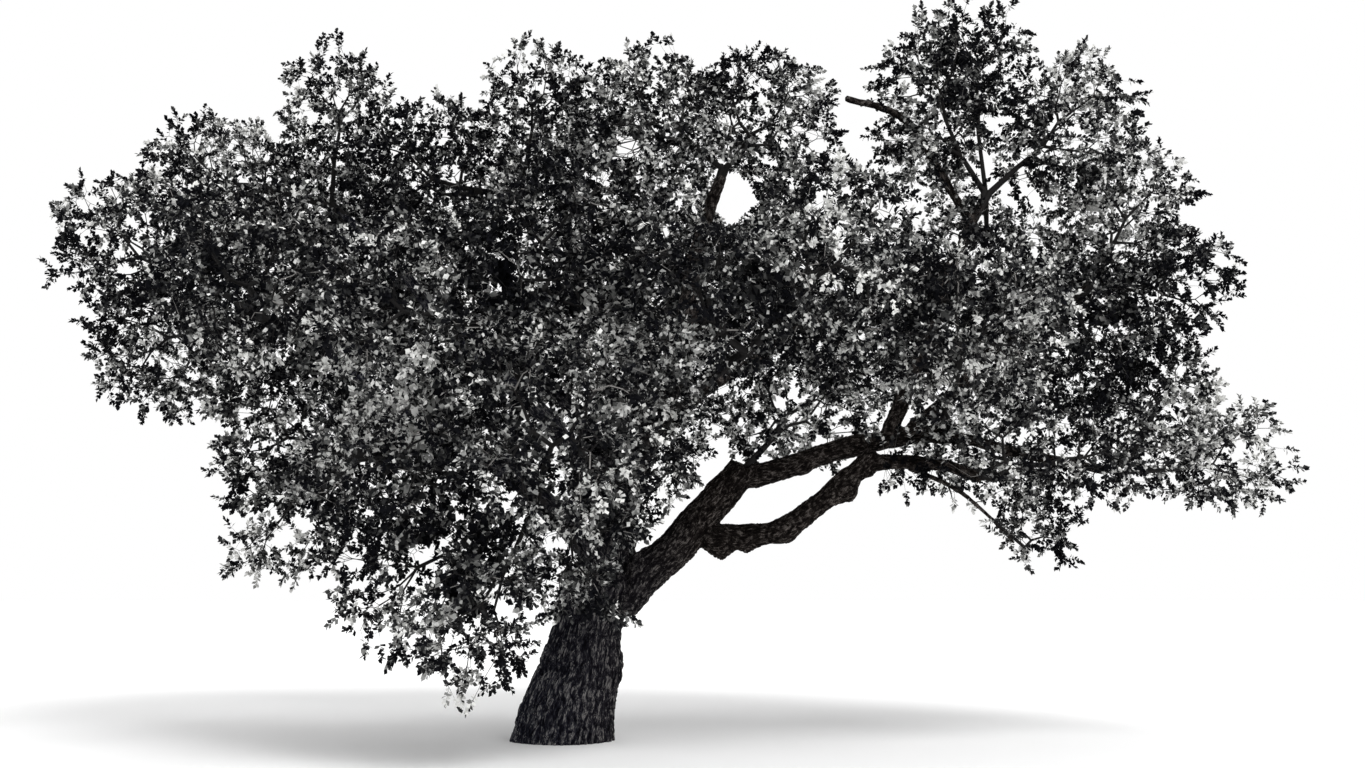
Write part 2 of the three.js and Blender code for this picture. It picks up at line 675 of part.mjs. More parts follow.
// How far out a point lies in a leaf's diamond: 1 on its edge.
function diamondShare(leaf, offset) {
  const forward = offset.dot(leaf.direction);
  const along = forward > 0 ? forward / leaf.tipLength : -forward / leaf.rootLength;
  const across = Math.abs(offset.dot(leaf.across)) / leaf.halfWidth;
  return along + across;
}

function leafIsClear(leaf, beads) {
  const slope = (leaf.rootLength * leaf.halfWidth) / Math.hypot(leaf.rootLength, leaf.halfWidth);
  return beads.every((bead) => {
    const offset = bead.at.clone().sub(leaf.middle);
    const beyond = Math.max(0, diamondShare(leaf, offset) - 1) * slope;
    return Math.hypot(beyond, offset.dot(leaf.face)) > bead.radius + CLEARANCE;
  });
}

function pierces(from, to, leaf) {
  const before = from.clone().sub(leaf.middle);
  const after = to.clone().sub(leaf.middle);
  const [above, below] = [before.dot(leaf.face), after.dot(leaf.face)];
  if (above * below > 0) {
    return false;
  }
  return diamondShare(leaf, before.lerp(after, above / (above - below))) < LEAF_BERTH;
}

function leavesCross(one, other) {
  const through = ([from, to]) => pierces(from, to, other);
  const back = ([from, to]) => pierces(from, to, one);
  return one.edges.some(through) || other.edges.some(back);
}

// A twig may touch only the leaves that it bears itself.
function twigHits([from, to], leaf) {
  const foot = leaf.root.clone();
  new THREE.Line3(from.at, to.at).closestPointToPoint(leaf.root, true, foot);
  return foot.distanceTo(leaf.root) > TWIG_RADIUS && pierces(from.at, to.at, leaf);
}

// A leaf fits where it stays in its space, clear of limbs, twigs and the leaves before it.
function leafFits(leaf, crowd) {
  return (
    leaf.corners.every((corner) => isInside(crowd.mass, crowd.sides, corner)) &&
    !crowd.stretches.some((stretch) => twigHits(stretch, leaf)) &&
    !crowd.leaves.some((other) => leavesCross(leaf, other)) &&
    leafIsClear(leaf, crowd.beads)
  );
}

// A random direction that leans away from `outwards`, and the face of a leaf that points there.
function leafPose(outwards, random) {
  const [side, up] = crossAxes(outwards);
  const turn = random() * Math.PI * 2;
  const lean = mix(LEAF_LEAN[0], LEAF_LEAN[1], random());
  const flat = side.multiplyScalar(Math.cos(turn)).addScaledVector(up, Math.sin(turn));
  const direction = outwards.clone().multiplyScalar(Math.cos(lean)).addScaledVector(flat, Math.sin(lean));
  const face = outwards.clone().addScaledVector(direction, -outwards.dot(direction)).normalize();
  face.applyAxisAngle(direction, mix(-LEAF_ROLL, LEAF_ROLL, random()));
  return { direction, face };
}

// The longest leaf that fits at a place in a direction, if any does.
function longestLeaf(root, { direction, face }, crowd) {
  const reach = meanReach(crowd.mass);
  for (let length = LEAF.longest * reach; length > LEAF.shortest * reach; length *= LEAF_STEP) {
    const leaf = leafAt(root, direction, face, length);
    if (leafFits(leaf, crowd)) {
      return leaf;
    }
  }
  return null;
}

// How much further out a leaf takes the box of its mass's leaves, by the mass's reach.
function boxGain(leaf, crowd) {
  const before = crowd.box.getSize(new THREE.Vector3());
  const after = crowd.box.clone().union(new THREE.Box3().setFromPoints(leaf.corners));
  const gain = after.getSize(new THREE.Vector3()).sub(before).divide(vector(crowd.mass.reach));
  return gain.x + gain.y + gain.z;
}

// Of many leaves tried at a place, the one that is long and reaches out of the box of the others.
// `bend` is the range of its angle to the twig.
function bestLeaf(root, forward, bend, crowd, random) {
  const outwards = root.clone().sub(vector(crowd.mass.middle)).normalize();
  let best = null;
  let bestScore = 0;
  for (let k = 0; k < LEAF_TRIES; k += 1) {
    const pose = leafPose(outwards, random);
    const angle = pose.direction.angleTo(forward);
    const leaf = angle > bend[0] && angle < bend[1] ? longestLeaf(root, pose, crowd) : null;
    const score = leaf ? leaf.length / meanReach(crowd.mass) + REACHING * boxGain(leaf, crowd) : 0;
    if (score > bestScore) {
      best = leaf;
      bestScore = score;
    }
  }
  return best;
}

function keepLeaf(leaf, crowd) {
  crowd.leaves.push(leaf);
  crowd.box.union(new THREE.Box3().setFromPoints(leaf.corners));
}

// ---------------------------------------------------------------- a mass
// The widest ring of a leaf at a twig's end: a flat triangle with its ridge on the leaf's face.
function bladeRing(leaf) {
  const halfThick = (leaf.length * LEAF_SHAPE.thickness) / 2;
  const ridge = leaf.middle.clone().addScaledVector(leaf.face, halfThick);
  const back = leaf.middle.clone().addScaledVector(leaf.face, -halfThick);
  const one = back.clone().addScaledVector(leaf.across, leaf.halfWidth);
  const other = back.clone().addScaledVector(leaf.across, -leaf.halfWidth);
  return [ridge, one, other];
}

// A twig and the leaf it ends in are one skin. A side twig starts as a point inside its parent.
function twigSolid(twig, leaf) {
  const [first, second] = twig;
  const path = [...twig];
  if (first.radius === 0) {
    const share = TWIG_ROOT / first.at.distanceTo(second.at);
    path[0] = { at: first.at.clone().lerp(second.at, share), radius: second.radius };
  }
  if (leaf) {
    const rings = ringsAlong([...path, { at: leaf.middle, radius: 0 }], 3, leaf.face);
    return solidOf(skin([...rings.slice(0, -1), bladeRing(leaf)], first.at, leaf.tip));
  }
  const [before, end] = twig.slice(-2);
  const ahead = end.at.clone().sub(before.at).normalize();
  const tip = end.at.clone().addScaledVector(ahead, TWIG_RADIUS);
  return solidOf(skin(ringsAlong(path, 3), first.at, tip));
}

function sideLeafSolid(leaf) {
  const [root, ...others] = leaf.corners;
  const sunk = root.clone().addScaledVector(leaf.direction, -LEAF_SINK);
  return solidOf(geometryOf([sunk, ...others], LEAF_FACES));
}

// The end leaves come first, as they reach furthest. Side leaves fill the room that is left.
function massSolid(mass, allTheBeads) {
  const random = seeded(mass.name);
  const sides = spaceOf(mass);
  const beads = beadsNear(mass, allTheBeads);
  const seats = pickSeats(mass, sides, beads, random);
  const twigs = [];
  growTwig(stemPath(mass), seats, mass, beads, random, twigs);
  const stretches = twigs.flatMap((twig) => twig.slice(1).map((place, i) => [twig[i], place]));
  const heart = vector(mass.middle);
  const crowd = { mass, sides, beads, stretches, leaves: [], box: new THREE.Box3(heart, heart.clone()) };
  const parts = [];
  for (const twig of twigs) {
    const [before, end] = twig.slice(-2);
    const forward = end.at.clone().sub(before.at).normalize();
    const leaf = bestLeaf(end.at, forward, END_BEND, crowd, random);
    parts.push(twigSolid(twig, leaf));
    if (leaf) {
      keepLeaf(leaf, crowd);
    }
  }
  for (const [from, to] of stretches) {
    const seat = from.at.clone().lerp(to.at, SIDE_LEAF_AT);
    const forward = to.at.clone().sub(from.at).normalize();
    const leaf = bestLeaf(seat, forward, SIDE_BEND, crowd, random);
    if (leaf) {
      keepLeaf(leaf, crowd);
      parts.push(sideLeafSolid(leaf));
    }
  }
  return mainBody(wasm.Manifold.union(parts));
}

// ---------------------------------------------------------------- the tree
function buildTree() {
  const tree = new THREE.Group();
  tree.name = "oak_tree";
  tree.add(meshOf("trunk", solidOf(trunkGeometry(0)), BARK));
  tree.add(...buildLimbs());
  const beads = allBeads();
  for (const mass of MASSES) {
    tree.add(meshOf(mass.name, massSolid(mass, beads), FOLIAGE));
  }
  return tree;
}

export default buildTree();
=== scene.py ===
import json
from collections import namedtuple
from statistics import NormalDist

import bmesh
import bpy
import numpy as np
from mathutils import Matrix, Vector, noise
from mathutils.bvhtree import BVHTree


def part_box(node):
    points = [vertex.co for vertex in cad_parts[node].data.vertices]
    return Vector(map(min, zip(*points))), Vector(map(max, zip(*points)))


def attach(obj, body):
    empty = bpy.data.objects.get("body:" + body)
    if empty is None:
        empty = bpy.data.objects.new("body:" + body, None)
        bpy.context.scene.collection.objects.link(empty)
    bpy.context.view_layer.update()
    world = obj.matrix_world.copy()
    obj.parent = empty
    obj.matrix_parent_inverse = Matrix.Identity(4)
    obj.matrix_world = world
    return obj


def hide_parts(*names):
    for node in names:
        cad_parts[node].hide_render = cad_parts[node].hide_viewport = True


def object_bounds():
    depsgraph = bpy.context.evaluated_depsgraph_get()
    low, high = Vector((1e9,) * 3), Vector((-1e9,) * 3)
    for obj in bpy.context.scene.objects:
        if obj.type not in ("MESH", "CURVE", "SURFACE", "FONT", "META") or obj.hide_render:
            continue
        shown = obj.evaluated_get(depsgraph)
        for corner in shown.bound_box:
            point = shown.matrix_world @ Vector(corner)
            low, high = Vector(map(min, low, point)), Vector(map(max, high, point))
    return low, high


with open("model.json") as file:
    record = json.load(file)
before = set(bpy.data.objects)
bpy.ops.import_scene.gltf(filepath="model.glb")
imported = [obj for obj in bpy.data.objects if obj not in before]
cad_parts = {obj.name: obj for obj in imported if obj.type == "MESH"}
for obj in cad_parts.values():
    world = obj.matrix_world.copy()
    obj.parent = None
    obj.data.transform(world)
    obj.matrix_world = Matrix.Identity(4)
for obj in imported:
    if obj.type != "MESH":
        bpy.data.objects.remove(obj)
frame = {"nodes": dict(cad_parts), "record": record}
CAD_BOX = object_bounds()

Tone = namedtuple("Tone", "name colour roughness gloss share")
Twig = namedtuple("Twig", "start end first last leafy")   # `first` and `last` are its radii

# ---------------- limbs
SECTION_STEP = 0.09        # between two sections measured along a limb
TIP_MARGIN = 0.03          # the last section lies at least this far before a limb's tip
TRUNK_MARGINS = (0.002, 0.02)   # from the trunk's foot and top to its first and last section
TRUNK_LEVELS = 80
TRUNK_BEARINGS = 96
SMALLEST_CUT = 1e-9        # a section with less area counts as none
STEEP = 0.9                # the rise of a direction that is too steep to turn from upright
CONTACT = 0.002            # a limb's root lies this close to an older limb
FULL_SECTION = 0.93        # a section is whole at this share of the radius of those after it
END_SECTIONS = 8           # a limb's last sections, which tell how thick its end is
LINE_BLUR = 2.0            # sections over which a limb's line and radius are smoothed
ROOT_SECTIONS = 3          # the fewest inside the parent, and those after it that show the way in
ROOT_TAPER = 0.7           # a limb's root ends this thick in its parent, by the parent's radius
END_REACH = 0.7            # the line ends this far on the way from its last section to the tip
END_TAPER = 0.9
END_ROUND = 0.5            # the skin closes this far past the line's end, by the radius
COLLAR = 0.32              # how much a limb swells where it leaves a stouter parent
COLLAR_FROM = 0.9          # a parent is stouter above this, by the limb's radius at its root
COLLAR_REACH = 1.3         # how far the collar reaches, by the limb's radius
GNARL = 0.17               # of a limb's lumps, by its radius
GNARL_SIZE = 2.2           # length of the lumps, by the limb's radius
LIMB_SIDES = 28
KNOTS = (                  # limb, share of the way along it, way it faces, height and spread
    ("loop_low", 0.17, (0.0, -0.3, -1.0), 0.17, 0.13),
    ("loop_low", 0.27, (0.3, -0.2, -1.0), 0.13, 0.06),
    ("loop_low", 0.48, (0.3, -0.2, -0.9), 0.06, 0.13),
    ("loop_low", 0.80, (0.8, -0.3, -0.5), 0.14, 0.13),
    ("loop_low", 0.93, (0.8, -0.3, -0.5), 0.09, 0.07),
    ("east_bough", 0.35, (-0.6, -0.7, 0.5), 0.07, 0.16),
    ("east_arm", 0.38, (0.0, -0.3, -0.9), 0.07, 0.07),
    ("east_arm", 0.62, (0.0, -0.9, 0.2), 0.05, 0.12),
)

# ---------------- bark
BEARING_BLUR = 3.0         # bearings over which the trunk's flat faces are rounded
LEVEL_BLUR = 2.0           # and levels
WRAP = 12                  # bearings that overlap while they are rounded
SUNK = 0.08                # the trunk's skin starts this far down, and is cut flat at the ground
VOXEL = 0.016              # of the mesh that joins the limbs into one skin
SMOOTHINGS = 8
SMOOTHING = 0.5
BARK_FACES = 90000         # triangles of trunk and boughs together
FULL_RADIUS = 0.45         # the radius that has full-sized ridges
RIDGE_SPACING = 0.046      # of the ridges round a stem of full radius
RIDGE_SHRINK = 0.45        # ridges get narrower on thinner limbs, to this power of the radius
RIDGE_LENGTH = 5.5         # of a ridge, by its width
RIDGE_DEPTH = 0.030        # on a stem of full radius
DEPTH_SHRINK = 0.75        # ridges get lower on thinner limbs, to this power of the radius
RIDGE_DATUM = 0.75         # this height of a ridge, from 0 to 1, lies on the measured surface
RIDGE_EDGE = 2.4           # how steeply a ridge rises out of its furrow
WANDER = 0.9               # how far ridges wander, by their spacing
WANDER_RATE = 0.35         # wanderings in the length of one spacing
LIMB_ROOM = 1.6            # a limb's bark lies within this, by its largest radius
LIMB_SHIFT = 37.0          # between the patterns of two limbs, in ridges

# ---------------- the crown's spaces
LEAF_SHARE = 0.12          # a leaf's faces are over this share of the largest face of their mass
LEAF_STOUTNESS = 0.25      # and this wide by their length, where a twig's faces are narrow
SPACE_SWELL = 1.07         # of a mass's space over the box of its leaves
GAPS = (                   # sky shows between these masses, through a gap of this radius
    (("top_left", "top_right", "centre_front", "right_front"), 0.32),
    (("middle_crown", "top_left"), 0.17),
    (("middle_crown", "top_left", "front_high"), 0.13),
    (("centre_front", "right_front", "centre_low", "right_low"), 0.16),
    (("left_front", "front_high"), 0.12),
)
BARE_LIMBS = {             # no leaves hang before this stretch of a limb
    "trunk": (0.0, 0.42),
    "east_bough": (0.22, 1.0),
    "loop_low": (0.0, 1.0),
    "east_arm": (0.0, 0.6),
    "loop_rise": (0.0, 0.5),
    "droop": (0.1, 0.8),
}
EYE = np.array([1.423, -17.0, 1.75])   # where the camera stands
GOLDEN_ANGLE = 2.39996
LOOKS = 18                 # directions in which the cover over a place is measured
COVERED = 0.8              # foliage this thick on every side hides a place
HIDDEN_SHARE = 0.35        # of the hidden places that may bear tufts
HIDDEN_GROWTH = 2.0        # leaves are this much larger where they are hidden

# ---------------- tufts and sprays
SPRAYS = 25900             # in the whole crown
SPRAYS_PER_TUFT = 9
SPARE = 1.06               # tufts asked for, by those that find room
FEWEST_TUFTS = 3           # of a mass
CROWDING = 0.75            # the tufts of a mass grow with its volume, to this power
TRIES = 12                 # places tried for each tuft
TUFT_BAND = (0.42, 0.985)  # tufts sit between these shares of a mass's reach
TUFT_CLEARANCE = 0.06      # from the bark
TUFT_MARGIN = 0.12         # inside the frame's box
TUFT_REACH = 0.28          # of the furthest sprays of a tuft
TUFT_CORE = 0.25           # the middle of a tuft that stays free, by the area of its section
SPRAY_OUT = 0.45           # how much more sprays stand on a tuft's outer side
SPRAY_UP = 0.15            # and on its upper side
SPRAY_ROOM = 0.05          # half the width of a spray

# ---------------- twigs
FORK_AT = 0.42             # a twig forks this far along the way to the middle of its ends
SWAY = 0.058               # how far a fork wanders off the straight line, by the twig's length
SHOOT_RADIUS = 0.0026      # of a twig that bears one spray
SHOOT_TAPER = 0.6
TWIG_GROWTH = 0.45         # a twig's radius grows with the number of its sprays, to this power
BRANCH_FROM = 0.011        # twigs thicker than this are drawn round
BRANCH_SIDES = 7
TWIG_SIDES = 3
TWIG_OVERLAP = 0.4         # a twig runs on this far past its ends, by its radius
STEM_START = 0.10          # a stem leaves its bough straight for this long
STEM_TURN = 0.05           # and turns towards its mass by this
STEM_FOOT = 1.15           # how much stouter the stem's foot is
ROOT_DEPTH = 0.8           # side twigs start this far out of a limb's middle, by its radius
BARE_TWIGS = {"droop": 5, "loop_rise": 3, "east_rail": 4}   # leafless ones that stand on a limb
BARE_FROM = 0.25           # and past this share of it
BARE_LENGTH = (0.12, 0.34)
BARE_LEAN = (0.5, 1.3)     # how much they lean along the limb
BARE_BENDS = 4
BARE_CROOK = 0.4           # how hard they bend
BARE_RADIUS = 0.005
BARE_STOUTNESS = 0.02      # added to the radius, by the length
BARE_TAPER = 0.8           # from one bend to the next
LEAFY_LIMBS = {            # from and to which share of a limb shoots stand on it, and how many
    "cut_stub": (0.06, 0.70, 110),
    "spire_bough": (0.25, 1.0, 60),
    "shoulder_bough": (0.15, 1.0, 60),
    "loop_rise": (0.30, 1.0, 50),
    "east_rail": (0.05, 1.0, 110),
}
LEAFY_LENGTH = (0.12, 0.42)
LEAFY_LEAN = (-0.2, 0.9)
LEAFY_SCATTER = 0.3
LEAFY_REACH = 0.2          # added to a shoot's length, by the limb's radius

# ---------------- leaves
LEAVES_PER_SPRAY = 13
LEAF_LENGTH = 0.066
LEAF_RANGE = (0.72, 1.12)  # of single leaves, by that length
LEAF_WIDTH = 0.76          # by its length
LEAF_OUTLINE = np.array([  # forward, across and raised, by the leaf's length and half width
    [0.0, 0.0, 0.0],
    [0.42, 1.0, 0.22],
    [1.0, 0.0, 0.0],
    [0.60, -1.0, 0.22],
])
LEAF_FACES = np.array([[0, 2, 1], [0, 3, 2]])
SHOOT_LEAFY = 0.15         # length of the leafy end of a shoot
STAGGER = 0.3              # how unevenly leaves follow each other, by the step between two
OPENING = (0.35, 0.9)      # a leaf's angle to the shoot at its tip, and what is added further back
OPENING_CURVE = 0.7
OPENING_SPREAD = 0.25
DIRECTION_SPREAD = 0.16
FACE_AHEAD = 0.8           # a leaf's face looks along the shoot,
FACE_INWARDS = 0.2         # towards it
FACE_UP = 0.75             # and up to the light
FACE_SPREAD = 0.35
PIECE_FACES = 190000       # triangles in one piece of leaves, at most

# ---------------- colours and light
COLD_BARK = (              # from the painted shade in a furrow to the painted highlight on a ridge's edge
    (0.25, (0.0012, 0.0013, 0.0030)),
    (0.55, (0.0100, 0.0108, 0.0185)),
    (0.78, (0.0400, 0.0410, 0.0500)),
    (0.98, (0.2100, 0.2080, 0.2080)),
)
WARM_BARK = (
    (0.25, (0.0013, 0.0010, 0.0009)),
    (0.55, (0.0095, 0.0075, 0.0068)),
    (0.78, (0.0300, 0.0250, 0.0225)),
    (0.98, (0.1500, 0.1330, 0.1230)),
)
WARMTH_AT_TRUNK = 0.25     # the bark is cold on the west, and warms
WARMING = 0.45             # by this for each metre to the east
BARK_ROUGHNESS = 0.9
BARK_GLOSS = 0.04
RIDGE_PAINTED_LIGHT_WEIGHT = 0.55        # of the parts that the bark's tone is made of; the ridges' part paints shade in the furrows and highlights on the ridges, while the streaks and grain are the bark's own tone
STREAK_WEIGHT = 1.75
GRAIN_WEIGHT = 0.95
TONE_START = -1.06
STREAK_SCALE = (6.4, 6.4, 0.85)   # fine streaks along the limb, by the ridges' spacing
GRAIN_SCALE = (1.6, 1.6, 0.30)    # and broad ones
NOISE_DETAIL = 3.0
BUMP_STRENGTH = 0.8
BUMP_HEIGHT = 0.012
LEAF_PAINTED_LIGHT = (             # copies of one leaf colour under painted light, from painted deep shade to painted glints
    Tone("leaf_painted_deep_shade", (0.0045, 0.0047, 0.0062), 0.7, 0.03, 0.45),
    Tone("leaf_painted_shade", (0.0190, 0.0195, 0.0205), 0.6, 0.12, 0.22),
    Tone("leaf_painted_half_light", (0.0700, 0.0710, 0.0690), 0.5, 0.30, 0.11),
    Tone("leaf_painted_lit", (0.2400, 0.2420, 0.2350), 0.5, 0.40, 0.10),
    Tone("leaf_painted_glint", (0.7600, 0.7600, 0.7400), 0.5, 0.50, 0.12),
)
TWIG_TONES = (
    Tone("twig_dark", (0.0160, 0.0150, 0.0150), 0.8, 0.15, 0.82),
    Tone("twig_pale", (0.2600, 0.2500, 0.2400), 0.7, 0.30, 0.18),
)
PAINTED_LIGHT_PATCHES = ((0.42, 0.65), (1.5, 0.45))   # size of the painted lit and painted shaded patches, and how much each counts
NOISE_SPREAD = 0.27        # of the noise's values round 0
LEAF_JITTER = 0.85         # how much the painted light varies from leaf to leaf, which scatters painted glints and painted shade
SPRAY_JITTER = 0.35        # and from spray to spray
FLOOR_SIZE = 400
FLOOR_TONE = (0.85, 0.85, 0.85)
FLOOR_ROUGHNESS = 0.9
SKY = 1.0
KEY_STRENGTH = 2.2
KEY_FROM = (0.55, -0.75, 0.95)
KEY_SPREAD = 0.5           # the width of the sun, in radians
LENS = 37.0                # in mm
VIEW_RANGE = 500
LOOK_UP = 98.36            # in degrees, where 90 is level

SEED = 7
random = np.random.default_rng(SEED)
noise.seed_set(SEED)


# ---------------- reading the frame
def nodes_in(slot):
    return [part["node"] for part in frame["record"]["subparts"] if part["material_slot"] == slot]


def triangles_of(node):
    mesh = frame["nodes"][node].data
    mesh.calc_loop_triangles()
    corners = np.empty(len(mesh.loop_triangles) * 3, dtype=np.int32)
    mesh.loop_triangles.foreach_get("vertices", corners)
    places = np.empty(len(mesh.vertices) * 3)
    mesh.vertices.foreach_get("co", places)
    return places.reshape(-1, 3)[corners.reshape(-1, 3)]


def surface_of(triangles):
    corners = [Vector(corner) for corner in triangles.reshape(-1, 3)]
    faces = [(i, i + 1, i + 2) for i in range(0, len(corners), 3)]
    return BVHTree.FromPolygons(corners, faces)


def section(triangles, origin, axis):
    """Centre and area of the cut through a solid by the plane at `origin`, square to `axis`."""
    heights = (triangles - origin) @ axis
    above = heights > 0
    crossing = above.any(axis=1) & ~above.all(axis=1)
    corners, heights, above = triangles[crossing], heights[crossing], above[crossing]
    lone = np.where(above.sum(axis=1) == 1, above.argmax(axis=1), (~above).argmax(axis=1))
    rows = np.arange(len(lone))
    ends = []
    for step in (1, 2):
        other = (lone + step) % 3
        share = heights[rows, lone] / (heights[rows, lone] - heights[rows, other])
        start = corners[rows, lone]
        ends.append(start + (corners[rows, other] - start) * share[:, None] - origin)
    turn = np.where(above[rows, lone], 1.0, -1.0)
    weights = 0.5 * turn * (np.cross(ends[0], ends[1]) @ axis)
    area = weights.sum()
    if abs(area) < SMALLEST_CUT:
        return origin, 0.0
    return origin + ((ends[0] + ends[1]) / 3 * weights[:, None]).sum(axis=0) / area, abs(area)


def blurred(values, width):
    """`values` smoothed along their first axis, with both ends kept in place."""
    reach = int(3 * width) + 1
    if len(values) <= reach:
        return values
    kernel = np.exp(-0.5 * (np.arange(-reach, reach + 1) / width) ** 2)
    kernel /= kernel.sum()
    before = 2 * values[0] - values[reach:0:-1]
    after = 2 * values[-1] - values[-2:-reach - 2:-1]
    padded = np.concatenate([before, values, after])
    columns = [np.convolve(column, kernel, "valid") for column in padded.T]
    return np.stack(columns, axis=1)


def unit(vectors):
    return vectors / np.linalg.norm(vectors, axis=-1, keepdims=True)


def square_to(ahead):
    """For each direction, two more that are square to it and to each other."""
    helper = np.where(np.abs(ahead[:, 2:]) < STEEP, [[0.0, 0.0, 1.0]], [[1.0, 0.0, 0.0]])
    side = unit(np.cross(helper, ahead))
    return side, np.cross(ahead, side)


def carried_sides(ahead):
    """Directions square to `ahead`, carried along it without twist."""
    side = square_to(ahead[:1])[0][0]
    sides = []
    for direction in ahead:
        side = unit(side - direction * (side @ direction))
        sides.append(side)
    return np.array(sides)


def ridge_spacing(radius):
    return RIDGE_SPACING * (radius / FULL_RADIUS) ** RIDGE_SHRINK


class Limb:
    """A limb's centre line from root to tip, with its radius at each place of it."""

    def __init__(self, name, line, radius, outer=0, collar=0.0):
        self.name = name
        self.line = line
        self.radius = radius
        self.ahead = unit(np.gradient(line, axis=0))
        self.side = carried_sides(self.ahead)
        self.up = np.cross(self.ahead, self.side)
        steps = np.linalg.norm(np.diff(line, axis=0), axis=1)
        self.along = np.concatenate([[0.0], np.cumsum(steps)])
        self.ridges = np.concatenate([[0.0], np.cumsum(steps / ridge_spacing(radius)[1:])])
        self.collar = collar                 # how much it swells where it comes out of its parent,
        self.free_from = self.along[outer]   # which is this far along it


def read_limb(name, older, limbs):
    """Measures a limb by sections square to the line from its root to its tip."""
    triangles = triangles_of(name)
    corners = triangles.reshape(-1, 3)
    near = [any(tree.find_nearest(Vector(c), CONTACT)[0] for tree in older) for c in corners]
    root = corners[near].mean(axis=0)
    tip = corners[np.argmax(np.linalg.norm(corners - root, axis=1))]
    length = np.linalg.norm(tip - root)
    axis = (tip - root) / length
    lowest = ((corners - root) @ axis).min()
    places = np.arange(lowest + SECTION_STEP / 2, length - TIP_MARGIN, SECTION_STEP)
    cuts = [section(triangles, root + axis * place, axis) for place in places]
    line = np.array([centre for centre, _ in cuts])
    area = np.array([area for _, area in cuts])
    slope = np.abs(unit(np.gradient(line, axis=0)) @ axis)
    radius = np.sqrt(area * slope / np.pi)
    whole = whole_stretch(radius)
    smooth = blurred(np.column_stack([line, radius])[whole], LINE_BLUR)
    return rooted(name, smooth[:, :3], smooth[:, 3], root, tip, limbs)


def whole_stretch(radius):
    """The sections that the limb's own ends don't cut short."""
    later = np.minimum.accumulate(radius[::-1])[::-1]
    whole = [radius[i] >= later[i:].max() * FULL_SECTION for i in range(len(radius))]
    end = radius[-END_SECTIONS:].max() * FULL_SECTION
    return slice(np.argmax(whole), len(radius) - np.argmax(radius[::-1] > end))


def rooted(name, line, radius, root, tip, limbs):
    """Carries the line back in a curve to its parent's centre line, and on to the tip."""
    gaps = [np.linalg.norm(limb.line - root, axis=1) - limb.radius for limb in limbs]
    parent = int(np.argmin([gap.min() for gap in gaps]))
    nearest = int(gaps[parent].argmin())
    heart = limbs[parent].line[nearest]
    thickness = limbs[parent].radius[nearest]
    inwards = np.linalg.norm(line[0] - heart)
    count = max(ROOT_SECTIONS, int(inwards / SECTION_STEP))
    share = (np.arange(count) / count)[:, None]
    bend = line[0] + unit(line[0] - line[ROOT_SECTIONS]) * inwards / 2
    curve = heart * (1 - share) ** 2 + bend * 2 * share * (1 - share) + line[0] * share ** 2
    end = line[-1] * (1 - END_REACH) + tip * END_REACH
    line = np.concatenate([curve, line, [end]])
    narrow = min(radius[0], thickness * ROOT_TAPER)
    taper = narrow + (radius[0] - narrow) * share[:, 0]
    collar = COLLAR * np.clip(thickness / radius[0] - COLLAR_FROM, 0, 1)
    radius = np.concatenate([taper, radius, [radius[-1] * END_TAPER]])
    outer = np.argmax(np.linalg.norm(line - heart, axis=1) > thickness)
    return Limb(name, line, radius, outer, collar)


def read_trunk():
    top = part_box("trunk")[1].z
    triangles = triangles_of("trunk")
    heights = np.linspace(TRUNK_MARGINS[0], top - TRUNK_MARGINS[1], TRUNK_LEVELS)
    up = np.array([0.0, 0.0, 1.0])
    cuts = [section(triangles, np.array([0.0, 0.0, height]), up) for height in heights]
    line = np.array([centre for centre, _ in cuts])
    radius = np.sqrt(np.array([area for _, area in cuts]) / np.pi)
    return Limb("trunk", line, radius)


def read_limbs():
    limbs = [read_trunk()]
    older = [surface_of(triangles_of("trunk"))]
    for name in nodes_in("bark"):
        if name != "trunk":
            limbs.append(read_limb(name, older, limbs))
            older.append(surface_of(triangles_of(name)))
    return limbs


# ---------------- meshes from arrays
def mesh_object(name, points, faces, materials, tones=None):
    """An object from arrays of points and of faces that all have the same number of corners."""
    mesh = bpy.data.meshes.new(name)
    corners = faces.shape[1]
    mesh.vertices.add(len(points))
    mesh.vertices.foreach_set("co", np.asarray(points, np.float32).ravel())
    mesh.loops.add(faces.size)
    mesh.loops.foreach_set("vertex_index", np.asarray(faces, np.int32).ravel())
    mesh.polygons.add(len(faces))
    mesh.polygons.foreach_set("loop_start", np.arange(0, faces.size, corners, dtype=np.int32))
    for material in materials:
        mesh.materials.append(material)
    if tones is not None:
        mesh.polygons.foreach_set("material_index", np.asarray(tones, np.int32))
    mesh.update(calc_edges=True)
    thing = bpy.data.objects.new(name, mesh)
    bpy.context.scene.collection.objects.link(thing)
    return thing


def applied(thing, kind, **settings):
    """Adds a modifier and applies it."""
    modifier = thing.modifiers.new(kind.lower(), kind)
    for key, value in settings.items():
        setattr(modifier, key, value)
    bpy.context.view_layer.objects.active = thing
    with bpy.context.temp_override(object=thing, active_object=thing):
        bpy.ops.object.modifier_apply(modifier=modifier.name)


def places_in(mesh):
    places = np.empty(len(mesh.vertices) * 3, np.float32)
    mesh.vertices.foreach_get("co", places)
    return places.reshape(-1, 3).astype(float)


def normals_in(mesh):
    normals = np.empty(len(mesh.vertices) * 3, np.float32)
    mesh.vertex_normals.foreach_get("vector", normals)
    return normals.reshape(-1, 3).astype(float)


def store(mesh, name, values):
    """Keeps a number or a vector for each point of the mesh, for its material."""
    kind, field = ("FLOAT", "value") if values.ndim == 1 else ("FLOAT_VECTOR", "vector")
    layer = mesh.attributes.new(name, kind, "POINT")
    layer.data.foreach_set(field, values.astype(np.float32).ravel())


